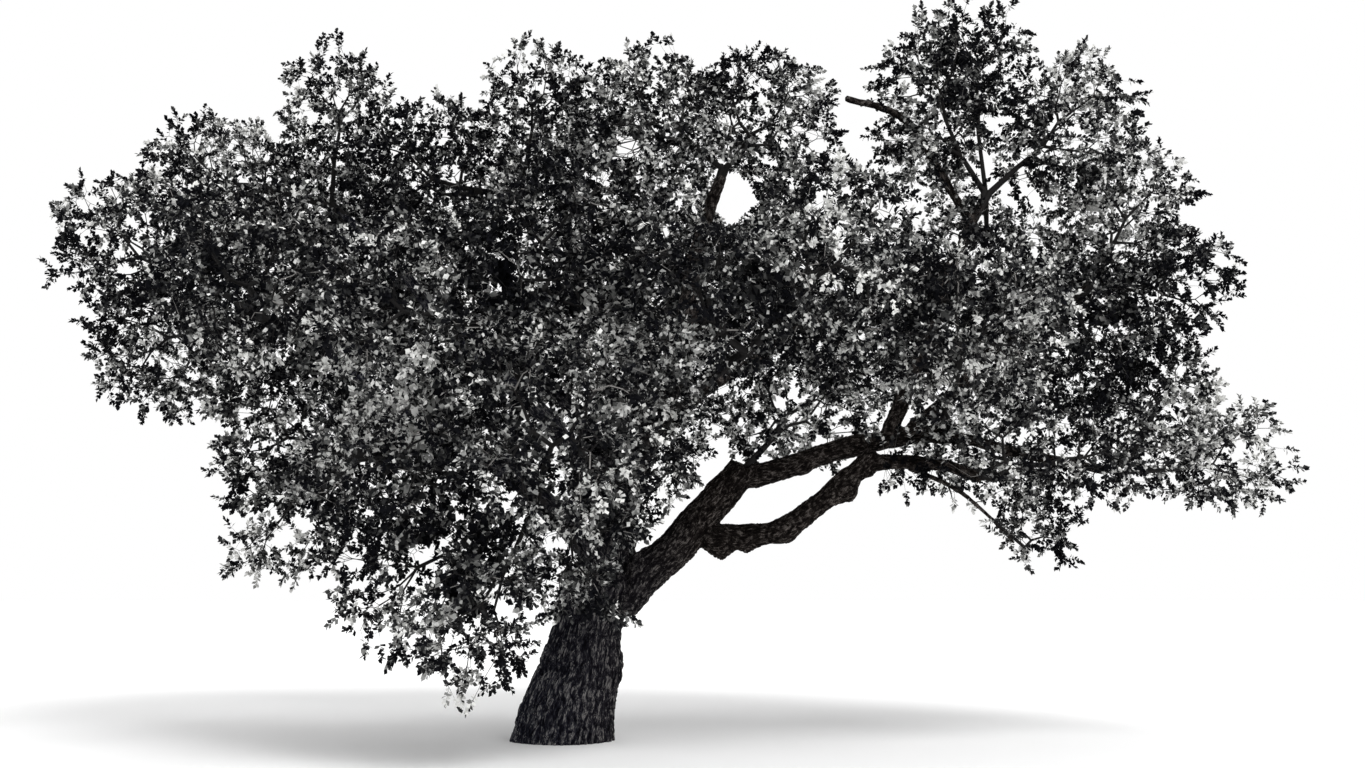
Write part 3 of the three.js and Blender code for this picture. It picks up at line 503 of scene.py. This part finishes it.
def tube(rings, ends):
    """Points and faces of a closed skin over rings of points, with a point at each end."""
    count, sides, _ = rings.shape
    points = np.concatenate([rings.reshape(-1, 3), ends])
    ring, side = np.meshgrid(np.arange(count - 1), np.arange(sides), indexing="ij")
    a = ring * sides + side
    b = ring * sides + (side + 1) % sides
    quads = np.stack([a, b, b + sides, a + sides], axis=-1).reshape(-1, 4)
    side = np.arange(sides)
    after = (side + 1) % sides
    last = (count - 1) * sides
    foot = np.stack([np.full(sides, count * sides), after, side], axis=1)
    head = np.stack([np.full(sides, count * sides + 1), last + side, last + after], axis=1)
    faces = np.concatenate([quads[:, [0, 1, 2]], quads[:, [0, 2, 3]], foot, head])
    return points, faces


def joined(skins):
    points, faces, start = [], [], 0
    for skin_points, skin_faces in skins:
        points.append(skin_points)
        faces.append(skin_faces + start)
        start += len(skin_points)
    return np.concatenate(points), np.concatenate(faces)


def rings_round(places, side, up, radius, sides):
    """A ring of points round each place."""
    turns = np.arange(sides) * 2 * np.pi / sides
    across = np.cos(turns)[None, :, None] * side[:, None]
    upwards = np.sin(turns)[None, :, None] * up[:, None]
    return places[:, None] + (across + upwards) * radius[:, None, None]


def repeated(faces, count, points_each):
    """The same faces on each of `count` shapes that follow each other."""
    starts_at = np.arange(count) * points_each
    return (faces[None] + starts_at[:, None, None]).reshape(-1, faces.shape[1])


def prisms(starts, ends, first, last, sides):
    """Tapering prisms with open ends, from `starts` to `ends`."""
    ahead = unit(ends - starts)
    side, up = square_to(ahead)
    near = starts - ahead * first[:, None] * TWIG_OVERLAP
    far = ends + ahead * last[:, None] * TWIG_OVERLAP
    rings = [rings_round(near, side, up, first, sides), rings_round(far, side, up, last, sides)]
    corner = np.arange(sides)
    after = (corner + 1) % sides
    quads = np.stack([corner, after, after + sides, corner + sides], axis=1)
    points = np.concatenate(rings, axis=1).reshape(-1, 3)
    return points, repeated(quads, len(starts), 2 * sides)


def spikes(starts, ends, first, sides):
    """Pointed prisms, from `starts` to `ends`."""
    ahead = unit(ends - starts)
    side, up = square_to(ahead)
    near = starts - ahead * first[:, None] * TWIG_OVERLAP
    ring = rings_round(near, side, up, first, sides)
    corner = np.arange(sides)
    triangles = np.stack([corner, (corner + 1) % sides, np.full(sides, sides)], axis=1)
    points = np.concatenate([ring, ends[:, None]], axis=1).reshape(-1, 3)
    return points, repeated(triangles, len(starts), sides + 1)


# ---------------- trunk and boughs
def knots_on(limb):
    """Middle, height and spread of each knot that stands on a limb."""
    knots = []
    for name, share, way, height, spread in KNOTS:
        if name == limb.name:
            i = int(share * (len(limb.line) - 1))
            knots.append((limb.line[i] + unit(np.array(way)) * limb.radius[i], height, spread))
    return knots


def limb_skin(limb):
    """A round limb with a collar at its root, slow lumps along it and its knots."""
    turns = np.linspace(0, 2 * np.pi, LIMB_SIDES, endpoint=False)
    knots = knots_on(limb)
    rings = []
    for i, centre in enumerate(limb.line):
        radius = limb.radius[i]
        beyond = max(0.0, limb.along[i] - limb.free_from) / (radius * COLLAR_REACH)
        swell = 1 + limb.collar * np.exp(-beyond ** 2)
        outwards = np.outer(np.cos(turns), limb.side[i]) + np.outer(np.sin(turns), limb.up[i])
        around = (centre + outwards * radius) / (GNARL_SIZE * radius)
        lumps = [noise.noise(Vector(place)) for place in around]
        reach = radius * (swell + GNARL * np.array(lumps))
        for middle, height, spread in knots:
            away = np.linalg.norm(centre + outwards * radius - middle, axis=1) / spread
            reach += height * np.exp(-away ** 2)
        rings.append(centre + outwards * reach[:, None])
    tip = limb.line[-1] + limb.ahead[-1] * limb.radius[-1] * END_ROUND
    return tube(np.array(rings), np.array([limb.line[0], tip]))


def trunk_skin(limb):
    """The trunk's own outline, read all round by rays, rounded between the flat faces."""
    surface = surface_of(triangles_of("trunk"))
    turns = np.linspace(0, 2 * np.pi, TRUNK_BEARINGS, endpoint=False)
    outwards = np.stack([np.cos(turns), np.sin(turns), np.zeros_like(turns)], axis=1)
    rays = [Vector(out) for out in outwards]
    centres = [Vector(place) for place in limb.line]
    reach = np.array([[surface.ray_cast(centre, ray)[3] for ray in rays] for centre in centres])
    around = np.concatenate([reach[:, -WRAP:], reach, reach[:, :WRAP]], axis=1)
    reach = blurred(around.T, BEARING_BLUR)[WRAP:-WRAP].T
    reach = blurred(reach, LEVEL_BLUR)
    rings = limb.line[:, None, :] + outwards[None] * reach[:, :, None]
    foot = rings[0] * [1, 1, 0] - [0, 0, SUNK]
    top = limb.line[-1] + [0, 0, TRUNK_MARGINS[1]]
    ends = np.array([limb.line[0] - [0, 0, SUNK], top])
    return tube(np.concatenate([[foot], rings]), ends)


def near_limb(limb, points):
    """Which points lie in a box round the limb."""
    room = limb.radius.max() * LIMB_ROOM
    low = limb.line.min(axis=0) - room
    high = limb.line.max(axis=0) + room
    return np.flatnonzero(((points > low) & (points < high)).all(axis=1))


def bark_places(limbs, points):
    """Where each point lies on a straightened limb, in ridges round and along, and the radius there."""
    best = np.full(len(points), np.inf)
    places = np.zeros((len(points), 3))
    radii = np.ones(len(points))
    for number, limb in enumerate(limbs):
        index = near_limb(limb, points)
        offset = points[index][:, None, :] - limb.line[None]
        distance = np.linalg.norm(offset, axis=2) - limb.radius[None]
        nearest = distance.argmin(axis=1)
        rows = np.arange(len(index))
        depth = distance[rows, nearest]
        closer = depth < best[index]
        index, nearest, rows, depth = index[closer], nearest[closer], rows[closer], depth[closer]
        own = offset[rows, nearest]
        radius = limb.radius[nearest]
        spacing = ridge_spacing(radius)
        forward = (own * limb.ahead[nearest]).sum(axis=1)
        places[index, 0] = (own * limb.side[nearest]).sum(axis=1) / spacing
        places[index, 1] = (own * limb.up[nearest]).sum(axis=1) / spacing
        places[index, 2] = limb.ridges[nearest] + forward / spacing + number * LIMB_SHIFT
        radii[index] = radius
        best[index] = depth
    return places, radii


def ridges_at(places):
    """Height of the bark, from 0 in a furrow to 1 on a ridge: long plates that wander."""
    heights = np.empty(len(places))
    squash = Vector((1, 1, 1 / RIDGE_LENGTH))
    for i, place in enumerate(places):
        at = Vector(place)
        wander = noise.noise_vector(at * WANDER_RATE) * WANDER
        near = noise.voronoi((at + wander) * squash)[0]
        heights[i] = min(1.0, (near[1] - near[0]) * RIDGE_EDGE)
    return heights


def raise_ridges(mesh, limbs):
    points = places_in(mesh)
    places, radii = bark_places(limbs, points)
    depth = RIDGE_DEPTH * (radii / FULL_RADIUS) ** DEPTH_SHRINK
    points += normals_in(mesh) * ((ridges_at(places) - RIDGE_DATUM) * depth)[:, None]
    mesh.vertices.foreach_set("co", points.astype(np.float32).ravel())
    mesh.update()


def cut_flat(mesh):
    """The flat cut at ground level."""
    shape = bmesh.new()
    shape.from_mesh(mesh)
    everything = shape.verts[:] + shape.edges[:] + shape.faces[:]
    cut = bmesh.ops.bisect_plane(
        shape, geom=everything, plane_co=(0, 0, 0), plane_no=(0, 0, 1), clear_inner=True)
    edges = [piece for piece in cut["geom_cut"] if isinstance(piece, bmesh.types.BMEdge)]
    bmesh.ops.edgeloop_fill(shape, edges=edges)
    shape.to_mesh(mesh)
    shape.free()
    mesh.update()


def warmth_at(points):
    """The bark turns from a blue black at the foot and on the west to a brown black on the east."""
    return np.clip(WARMTH_AT_TRUNK + WARMING * points[:, 0], 0, 1)


def build_bark(limbs, material):
    skins = [trunk_skin(limbs[0])] + [limb_skin(limb) for limb in limbs[1:]]
    points, faces = joined(skins)
    bark = mesh_object("trunk_and_boughs", points, faces, [])
    applied(bark, "REMESH", mode="VOXEL", voxel_size=VOXEL)
    applied(bark, "SMOOTH", factor=SMOOTHING, iterations=SMOOTHINGS)
    raise_ridges(bark.data, limbs)
    triangles = len(bark.data.polygons) * 2
    if triangles > BARK_FACES:
        applied(bark, "DECIMATE", ratio=BARK_FACES / triangles)
    mesh = bark.data
    cut_flat(mesh)
    points = places_in(mesh)
    places, _ = bark_places(limbs, points)
    store(mesh, "bark_place", places)
    store(mesh, "ridge", ridges_at(places))
    store(mesh, "warmth", warmth_at(points))
    mesh.materials.append(material)
    mesh.shade_smooth()
    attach(bark, "root")
    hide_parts(*nodes_in("bark"))


# ---------------- the crown's spaces
class Mass:
    """The space that a mass of foliage keeps to, the bough that feeds it, and its twigs."""

    def __init__(self, name, limbs):
        triangles = triangles_of(name)
        corners = triangles.reshape(-1, 3)
        edges = triangles - np.roll(triangles, 1, axis=1)
        longest = np.linalg.norm(edges, axis=2).max(axis=1)
        area = np.linalg.norm(np.cross(edges[:, 0], edges[:, 1]), axis=1) / 2
        stout = 2 * area > LEAF_STOUTNESS * longest ** 2
        leaves = triangles[stout & (area > LEAF_SHARE * area[stout].max())].reshape(-1, 3)
        low, high = leaves.min(axis=0), leaves.max(axis=0)
        self.name = name
        self.middle = (low + high) / 2
        self.reach = (high - low) / 2 * SPACE_SWELL
        self.bough = min(limbs[1:], key=lambda limb: distance_to(limb.line[-1], corners))
        self.bulk = self.reach.prod() ** CROWDING
        self.twigs = []

    def outness(self, points):
        """0 in the middle of the mass and 1 at its reach."""
        return np.linalg.norm((points - self.middle) / self.reach, axis=1)

    def shoots(self):
        return [twig for twig in self.twigs if twig.leafy]


def distance_to(place, points):
    return np.linalg.norm(points - place, axis=1).min()


def keeps_clear(points, limbs, room):
    """Which points lie further than `room` from every limb's bark."""
    clear = np.ones(len(points), bool)
    for limb in limbs:
        offset = points[:, None, :] - limb.line[None]
        distance = np.linalg.norm(offset, axis=2) - limb.radius[None]
        clear &= distance.min(axis=1) > room
    return clear


def in_reach(points, margin):
    """Which points lie inside the frame's box by at least `margin`."""
    low, high = (np.array(corner) for corner in CAD_BOX)
    return ((points > low + margin) & (points < high - margin)).all(axis=1)


def all_round(count):
    """Directions spread evenly over a ball."""
    turns = np.arange(count) * GOLDEN_ANGLE
    rise = 1 - 2 * (np.arange(count) + 0.5) / count
    flat = np.sqrt(1 - rise ** 2)
    return np.stack([flat * np.cos(turns), flat * np.sin(turns), rise], axis=1)


def cover_over(places, masses):
    """How thick the foliage is that hides each place, in the direction where it is thinnest."""
    looks = all_round(LOOKS)
    cover = np.zeros((len(places), LOOKS))
    for mass in masses:
        start = (places - mass.middle) / mass.reach
        way = looks / mass.reach
        square = (way ** 2).sum(axis=1)
        middle = -(start @ way.T) / square
        room = middle ** 2 - ((start ** 2).sum(axis=1)[:, None] - 1) / square
        half = np.sqrt(room.clip(0))
        cover += (middle + half).clip(0) - (middle - half).clip(0)
    return cover.min(axis=1)


def sky_gaps(masses):
    """Middle and radius of each gap through which the sky shows."""
    middles = {mass.name: mass.middle for mass in masses}
    return [(np.mean([middles[name] for name in names], axis=0), radius) for names, radius in GAPS]


def outside_gaps(places, gaps):
    """Which places the eye doesn't see in one of the crown's gaps."""
    clear = np.ones(len(places), bool)
    for middle, radius in gaps:
        look = unit(middle - EYE)
        offset = places - EYE
        aside = offset - (offset @ look)[:, None] * look
        clear &= np.linalg.norm(aside, axis=1) > radius
    return clear


def off_bare_limbs(places, limbs):
    """Which places don't stand before the bare stretch of a limb, as the eye sees it."""
    clear = np.ones(len(places), bool)
    looks = unit(places - EYE)
    distance = np.linalg.norm(places - EYE, axis=1)[:, None]
    for limb in limbs:
        if limb.name in BARE_LIMBS:
            first, last = (int(share * len(limb.line)) for share in BARE_LIMBS[limb.name])
            offset = limb.line[first:last] - EYE
            forward = looks @ offset.T
            aside = np.linalg.norm(offset[None] - looks[:, None] * forward[..., None], axis=2)
            before = (forward > distance) & (aside < limb.radius[first:last] + SPRAY_ROOM)
            clear &= ~before.any(axis=1)
    return clear


# ---------------- tufts and sprays
def random_directions(count):
    return unit(random.normal(size=(count, 3)))


def spread_out(candidates, count):
    """The `count` candidates that lie furthest from each other."""
    chosen = [0]
    gaps = np.linalg.norm(candidates - candidates[0], axis=1)
    while len(chosen) < min(count, len(candidates)):
        best = int(gaps.argmax())
        chosen.append(best)
        gaps = np.minimum(gaps, np.linalg.norm(candidates - candidates[best], axis=1))
    return candidates[chosen]


def pick_tufts(mass, masses, limbs, count):
    """Places for tufts in the mass's own share of the crown, fewer where foliage hides them."""
    inner, outer = TUFT_BAND
    out = random.uniform(inner ** 3, outer ** 3, count * TRIES) ** (1 / 3)
    places = mass.middle + random_directions(len(out)) * mass.reach * out[:, None]
    own = mass.outness(places)
    keep = keeps_clear(places, limbs, TUFT_CLEARANCE) & in_reach(places, TUFT_MARGIN)
    for other in masses:
        if other is not mass:
            keep &= other.outness(places) > own
    places = places[keep]
    hidden = cover_over(places, masses) > COVERED
    hidden &= random.random(len(places)) > HIDDEN_SHARE
    share = keep.mean() * (1 - hidden.mean())
    places = places[~hidden]
    return spread_out(places, max(1, int(count * share))) if len(places) else places


def pick_sprays(mass, tufts, limbs, gaps):
    """Sprays stand round each tuft, mostly on its outer side."""
    places = np.repeat(tufts, SPRAYS_PER_TUFT, axis=0)
    outwards = unit((places - mass.middle) / mass.reach ** 2)
    spread = random_directions(len(places)) + outwards * SPRAY_OUT + [0, 0, SPRAY_UP]
    reach = TUFT_REACH * random.uniform(TUFT_CORE, 1.0, len(places)) ** 0.5
    places = places + unit(spread) * reach[:, None]
    keep = keeps_clear(places, limbs, SPRAY_ROOM) & in_reach(places, SPRAY_ROOM)
    keep &= outside_gaps(places, gaps) & off_bare_limbs(places, limbs)
    return places[keep]


# ---------------- twigs
def halves(points):
    """The points in two halves, along the way that they spread most."""
    widest = np.ptp(points, axis=0).argmax()
    order = points[:, widest].argsort()
    half = (len(points) + 1) // 2
    return points[order[:half]], points[order[half:]]


def twig_radius(count):
    return SHOOT_RADIUS * count ** TWIG_GROWTH


def grow(start, seats):
    """Twigs that fork on from `start` until each spray has a shoot of its own."""
    twigs = []
    waiting = [(start, seats)]
    while waiting:
        at, seats = waiting.pop()
        while len(seats) > 1:
            way = (seats.mean(axis=0) - at) * FORK_AT
            fork = at + way + random.normal(size=3) * SWAY * np.linalg.norm(way)
            kept, given = halves(seats)
            twigs.append(Twig(at, fork, twig_radius(len(seats)), twig_radius(len(kept)), False))
            waiting.append((fork, given))
            at, seats = fork, kept
        twigs.append(Twig(at, seats[0], twig_radius(1), twig_radius(1) * SHOOT_TAPER, True))
    return twigs


def grow_mass(mass, seats):
    """The stem leaves the rounded end of its bough, turns into the mass and forks."""
    bough = mass.bough
    tip = bough.line[-1]
    start = tip + unit(mass.middle - tip) * STEM_TURN + bough.ahead[-1] * STEM_START
    radius = twig_radius(len(seats))
    foot = min(radius * STEM_FOOT, bough.radius[-1])
    return [Twig(bough.line[-2], start, foot, radius, False)] + grow(start, seats)


def way_out(limb, i):
    """A direction out of a limb at its section `i`, and a place in the bark there."""
    turn = random.uniform(0, 2 * np.pi)
    out = limb.side[i] * np.cos(turn) + limb.up[i] * np.sin(turn)
    return out, limb.line[i] + out * limb.radius[i] * ROOT_DEPTH


def grow_bare_twigs(limb, count):
    """Short leafless twigs along a limb, each bent a few times."""
    twigs = []
    for _ in range(count):
        i = random.integers(int(BARE_FROM * len(limb.line)), len(limb.line) - 1)
        out, start = way_out(limb, i)
        way = unit(out + limb.ahead[i] * random.uniform(*BARE_LEAN))
        length = random.uniform(*BARE_LENGTH)
        radius = BARE_RADIUS + BARE_STOUTNESS * length
        for _ in range(BARE_BENDS):
            end = start + way * length / BARE_BENDS
            twigs.append(Twig(start, end, radius, radius * BARE_TAPER, False))
            way = unit(way + random.normal(size=3) * BARE_CROOK)
            start, radius = end, radius * BARE_TAPER
    return twigs


def grow_shoots(limb, first, last, count):
    """Leafy shoots along a stretch of a limb."""
    twigs = []
    for _ in range(count):
        i = int(random.uniform(first, last) * (len(limb.line) - 1))
        out, start = way_out(limb, i)
        lean = limb.ahead[i] * random.uniform(*LEAFY_LEAN)
        way = unit(out + lean + random.normal(size=3) * LEAFY_SCATTER)
        end = start + way * (limb.radius[i] * LEAFY_REACH + random.uniform(*LEAFY_LENGTH))
        twigs.append(Twig(start, end, twig_radius(2), twig_radius(1), True))
    return twigs


# ---------------- leaves
def leaves_on(starts, ends, growth):
    """Root, direction, face and length of every leaf on the shoots from `starts` to `ends`."""
    count = len(ends)
    growth = np.repeat(growth, LEAVES_PER_SPRAY)
    ahead = np.repeat(unit(ends - starts), LEAVES_PER_SPRAY, axis=0)
    step = np.tile(np.arange(LEAVES_PER_SPRAY), count)
    back = (step + random.uniform(-STAGGER, STAGGER, len(step))) / LEAVES_PER_SPRAY
    back = back.clip(0, 1)
    behind = ahead * (SHOOT_LEAFY * growth * back)[:, None]
    roots = np.repeat(ends, LEAVES_PER_SPRAY, axis=0) - behind
    side, up = square_to(ahead)
    turn = step * GOLDEN_ANGLE + np.repeat(random.uniform(0, 2 * np.pi, count), LEAVES_PER_SPRAY)
    around = side * np.cos(turn)[:, None] + up * np.sin(turn)[:, None]
    opening = OPENING[0] + OPENING[1] * back ** OPENING_CURVE
    opening += random.uniform(-OPENING_SPREAD, OPENING_SPREAD, len(step))
    direction = ahead * np.cos(opening)[:, None] + around * np.sin(opening)[:, None]
    direction = unit(direction + random.normal(size=direction.shape) * DIRECTION_SPREAD)
    face = ahead * FACE_AHEAD - around * FACE_INWARDS + [0.0, 0.0, FACE_UP]
    face += random.normal(size=direction.shape) * FACE_SPREAD
    face = unit(face - direction * (face * direction).sum(axis=1, keepdims=True))
    length = LEAF_LENGTH * growth * random.uniform(*LEAF_RANGE, len(step))
    return roots, direction, face, length


def leaf_mesh(roots, direction, face, length):
    across = np.cross(face, direction)
    half_width = length * LEAF_WIDTH / 2
    points = (
        roots[:, None]
        + direction[:, None] * (LEAF_OUTLINE[None, :, 0] * length[:, None])[..., None]
        + across[:, None] * (LEAF_OUTLINE[None, :, 1] * half_width[:, None])[..., None]
        + face[:, None] * (LEAF_OUTLINE[None, :, 2] * half_width[:, None])[..., None]
    )
    return points.reshape(-1, 3), repeated(LEAF_FACES, len(roots), len(LEAF_OUTLINE))


# ---------------- materials
def new_material(name):
    material = bpy.data.materials.new(name)
    material.use_nodes = True
    return material, material.node_tree.nodes, material.node_tree.links


def plain_material(name, colour, roughness, gloss):
    material, nodes, _ = new_material(name)
    shader = nodes["Principled BSDF"]
    shader.inputs["Base Color"].default_value = (*colour, 1)
    shader.inputs["Roughness"].default_value = roughness
    shader.inputs["Specular IOR Level"].default_value = gloss
    return material


def stored(nodes, name):
    """The value that the mesh keeps under this name."""
    node = nodes.new("ShaderNodeAttribute")
    node.attribute_name = name
    return node.outputs


def noise_at(nodes, links, place, scale):
    squash = nodes.new("ShaderNodeMapping")
    squash.inputs["Scale"].default_value = scale
    texture = nodes.new("ShaderNodeTexNoise")
    texture.inputs["Scale"].default_value = 1.0
    texture.inputs["Detail"].default_value = NOISE_DETAIL
    links.new(place, squash.inputs["Vector"])
    links.new(squash.outputs["Vector"], texture.inputs["Vector"])
    return texture.outputs["Fac"]


def times_plus(nodes, links, value, factor, added):
    """value × factor + added, where `added` is a number or a socket."""
    node = nodes.new("ShaderNodeMath")
    node.operation = "MULTIPLY_ADD"
    links.new(value, node.inputs[0])
    node.inputs[1].default_value = factor
    if isinstance(added, float):
        node.inputs[2].default_value = added
    else:
        links.new(added, node.inputs[2])
    return node.outputs[0]


def tone_ramp(nodes, links, level, stops):
    ramp = nodes.new("ShaderNodeValToRGB")
    elements = ramp.color_ramp.elements
    while len(elements) < len(stops):
        elements.new(0.5)
    for element, (position, colour) in zip(elements, stops):
        element.position = position
        element.color = (*colour, 1)
    links.new(level, ramp.inputs["Fac"])
    return ramp.outputs["Color"]


def bark_material():
    """Painted shade, near black, in the furrows and thin painted highlights on the edges of the ridges,
    with streaks of the bark's own tone, drawn along each limb.
    """
    material, nodes, links = new_material("bark")
    shader = nodes["Principled BSDF"]
    shader.inputs["Roughness"].default_value = BARK_ROUGHNESS
    shader.inputs["Specular IOR Level"].default_value = BARK_GLOSS
    place = stored(nodes, "bark_place")["Vector"]
    streaks = noise_at(nodes, links, place, STREAK_SCALE)
    grain = noise_at(nodes, links, place, GRAIN_SCALE)
    # the ridges' part paints shade in the furrows and highlights on the ridges
    level = times_plus(nodes, links, stored(nodes, "ridge")["Fac"], RIDGE_PAINTED_LIGHT_WEIGHT, TONE_START)
    level = times_plus(nodes, links, streaks, STREAK_WEIGHT, level)
    level = times_plus(nodes, links, grain, GRAIN_WEIGHT, level)
    blend = nodes.new("ShaderNodeMix")
    blend.data_type = "RGBA"
    links.new(stored(nodes, "warmth")["Fac"], blend.inputs["Factor"])
    links.new(tone_ramp(nodes, links, level, COLD_BARK), blend.inputs["A"])
    links.new(tone_ramp(nodes, links, level, WARM_BARK), blend.inputs["B"])
    links.new(blend.outputs["Result"], shader.inputs["Base Color"])
    bump = nodes.new("ShaderNodeBump")
    bump.inputs["Strength"].default_value = BUMP_STRENGTH
    bump.inputs["Distance"].default_value = BUMP_HEIGHT
    links.new(level, bump.inputs["Height"])
    links.new(bump.outputs["Normal"], shader.inputs["Normal"])
    return material


def looks_of(tones):
    return [plain_material(*tone[:-1]) for tone in tones]


def deal_tones(levels, tones):
    """A tone for each level: the shares of the tones cut the spread of the levels."""
    shares = np.cumsum([tone.share for tone in tones])[:-1]
    cuts = [NormalDist().inv_cdf(share) for share in shares]
    return np.searchsorted(cuts, levels)


def painted_light_levels(places):
    """How much painted light each leaf gets, spread round 0: painted lit and shaded patches, sprays,
    and single leaves that give painted glints and painted shade.
    """
    levels = random.normal(size=len(places)) * SPRAY_JITTER
    for size, weight in PAINTED_LIGHT_PATCHES:
        levels += [noise.noise(Vector(place / size)) / NOISE_SPREAD * weight for place in places]
    levels = np.repeat(levels, LEAVES_PER_SPRAY)
    levels += random.normal(size=len(levels)) * LEAF_JITTER
    patchiness = sum(weight ** 2 for _, weight in PAINTED_LIGHT_PATCHES)
    return levels / np.sqrt(LEAF_JITTER ** 2 + SPRAY_JITTER ** 2 + patchiness)


# ---------------- the crown
def grow_crown(limbs, masses):
    """Gives every mass its twigs, and the leafy limbs' shoots to the mass they stand nearest."""
    gaps = sky_gaps(masses)
    tufts_per_bulk = SPARE * (SPRAYS / SPRAYS_PER_TUFT) / sum(mass.bulk for mass in masses)
    for mass in masses:
        tufts = pick_tufts(mass, masses, limbs, int(tufts_per_bulk * mass.bulk) + FEWEST_TUFTS)
        mass.twigs = grow_mass(mass, pick_sprays(mass, tufts, limbs, gaps))
    for limb in limbs:
        if limb.name in LEAFY_LIMBS:
            middle = limb.line[len(limb.line) // 2]
            nearest = min(masses, key=lambda mass: mass.outness(middle[None])[0])
            nearest.twigs += grow_shoots(limb, *LEAFY_LIMBS[limb.name])


def build_twigs(twigs):
    """Round branches, and three-sided twigs and shoots. Branches only take the dark tone."""
    starts, ends, first, last, leafy = (np.array(column) for column in zip(*twigs))
    looks = looks_of(TWIG_TONES)
    stout = (first > BRANCH_FROM) & ~leafy
    for name, chosen, sides in (
        ("branches", stout, BRANCH_SIDES),
        ("twigs", ~stout & ~leafy, TWIG_SIDES),
        ("shoots", leafy, TWIG_SIDES),
    ):
        if name == "shoots":
            points, faces = spikes(starts[chosen], ends[chosen], first[chosen], sides)
        else:
            points, faces = prisms(starts[chosen], ends[chosen], first[chosen], last[chosen], sides)
        tones = deal_tones(random.normal(size=chosen.sum()), TWIG_TONES) * (name != "branches")
        piece = mesh_object(name, points, faces, looks, np.repeat(tones, sides))
        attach(piece, "root")


def leaf_batches(masses):
    """The masses in groups whose leaves make one piece each."""
    batches, batch, faces = [], [], 0
    for mass in masses:
        cost = len(mass.shoots()) * LEAVES_PER_SPRAY * len(LEAF_FACES)
        if faces + cost > PIECE_FACES:
            batches.append(batch)
            batch, faces = [], 0
        batch.append(mass)
        faces += cost
    return batches + [batch]


def build_leaves(masses):
    looks = looks_of(LEAF_PAINTED_LIGHT)
    for number, batch in enumerate(leaf_batches(masses), 1):
        shoots = [shoot for mass in batch for shoot in mass.shoots()]
        starts = np.array([shoot.start for shoot in shoots])
        ends = np.array([shoot.end for shoot in shoots])
        growth = np.where(cover_over(ends, masses) > COVERED, HIDDEN_GROWTH, 1.0)
        points, faces = leaf_mesh(*leaves_on(starts, ends, growth))
        # each leaf's tone is painted light: lit and shaded patches, painted glints and painted shade
        tones = deal_tones(painted_light_levels(ends), LEAF_PAINTED_LIGHT)
        piece = mesh_object(f"leaves_{number}", points, faces, looks, np.repeat(tones, len(LEAF_FACES)))
        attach(piece, "root")
        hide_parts(*[mass.name for mass in batch])


# ---------------- studio
def build_floor():
    bpy.ops.mesh.primitive_plane_add(size=FLOOR_SIZE)
    floor = bpy.context.object
    floor.name = "floor"
    material, nodes, _ = new_material("floor")
    nodes["Principled BSDF"].inputs["Base Color"].default_value = (*FLOOR_TONE, 1)
    nodes["Principled BSDF"].inputs["Roughness"].default_value = FLOOR_ROUGHNESS
    floor.data.materials.append(material)


def build_light():
    world = bpy.data.worlds.new("studio")
    bpy.context.scene.world = world
    world.use_nodes = True
    world.node_tree.nodes["Background"].inputs["Color"].default_value = (1, 1, 1, 1)
    world.node_tree.nodes["Background"].inputs["Strength"].default_value = SKY
    key = bpy.data.objects.new("key", bpy.data.lights.new("key", "SUN"))
    key.data.energy = KEY_STRENGTH
    key.data.angle = KEY_SPREAD
    key.rotation_euler = Vector(KEY_FROM).to_track_quat("Z", "Y").to_euler()
    bpy.context.scene.collection.objects.link(key)


def build_camera():
    camera = bpy.data.objects.new("camera", bpy.data.cameras.new("camera"))
    camera.data.lens = LENS
    camera.data.clip_end = VIEW_RANGE
    camera.location = EYE
    camera.rotation_euler = (np.radians(LOOK_UP), 0, 0)
    bpy.context.scene.collection.objects.link(camera)
    bpy.context.scene.camera = camera
    bpy.context.scene.view_settings.view_transform = "Standard"


build_camera()
build_floor()
build_light()
limbs = read_limbs()
masses = [Mass(name, limbs) for name in nodes_in("foliage")]
build_bark(limbs, bark_material())
grow_crown(limbs, masses)
bare_twigs = [twig for limb in limbs for twig in grow_bare_twigs(limb, BARE_TWIGS.get(limb.name, 0))]
build_twigs([twig for mass in masses for twig in mass.twigs] + bare_twigs)
build_leaves(masses)
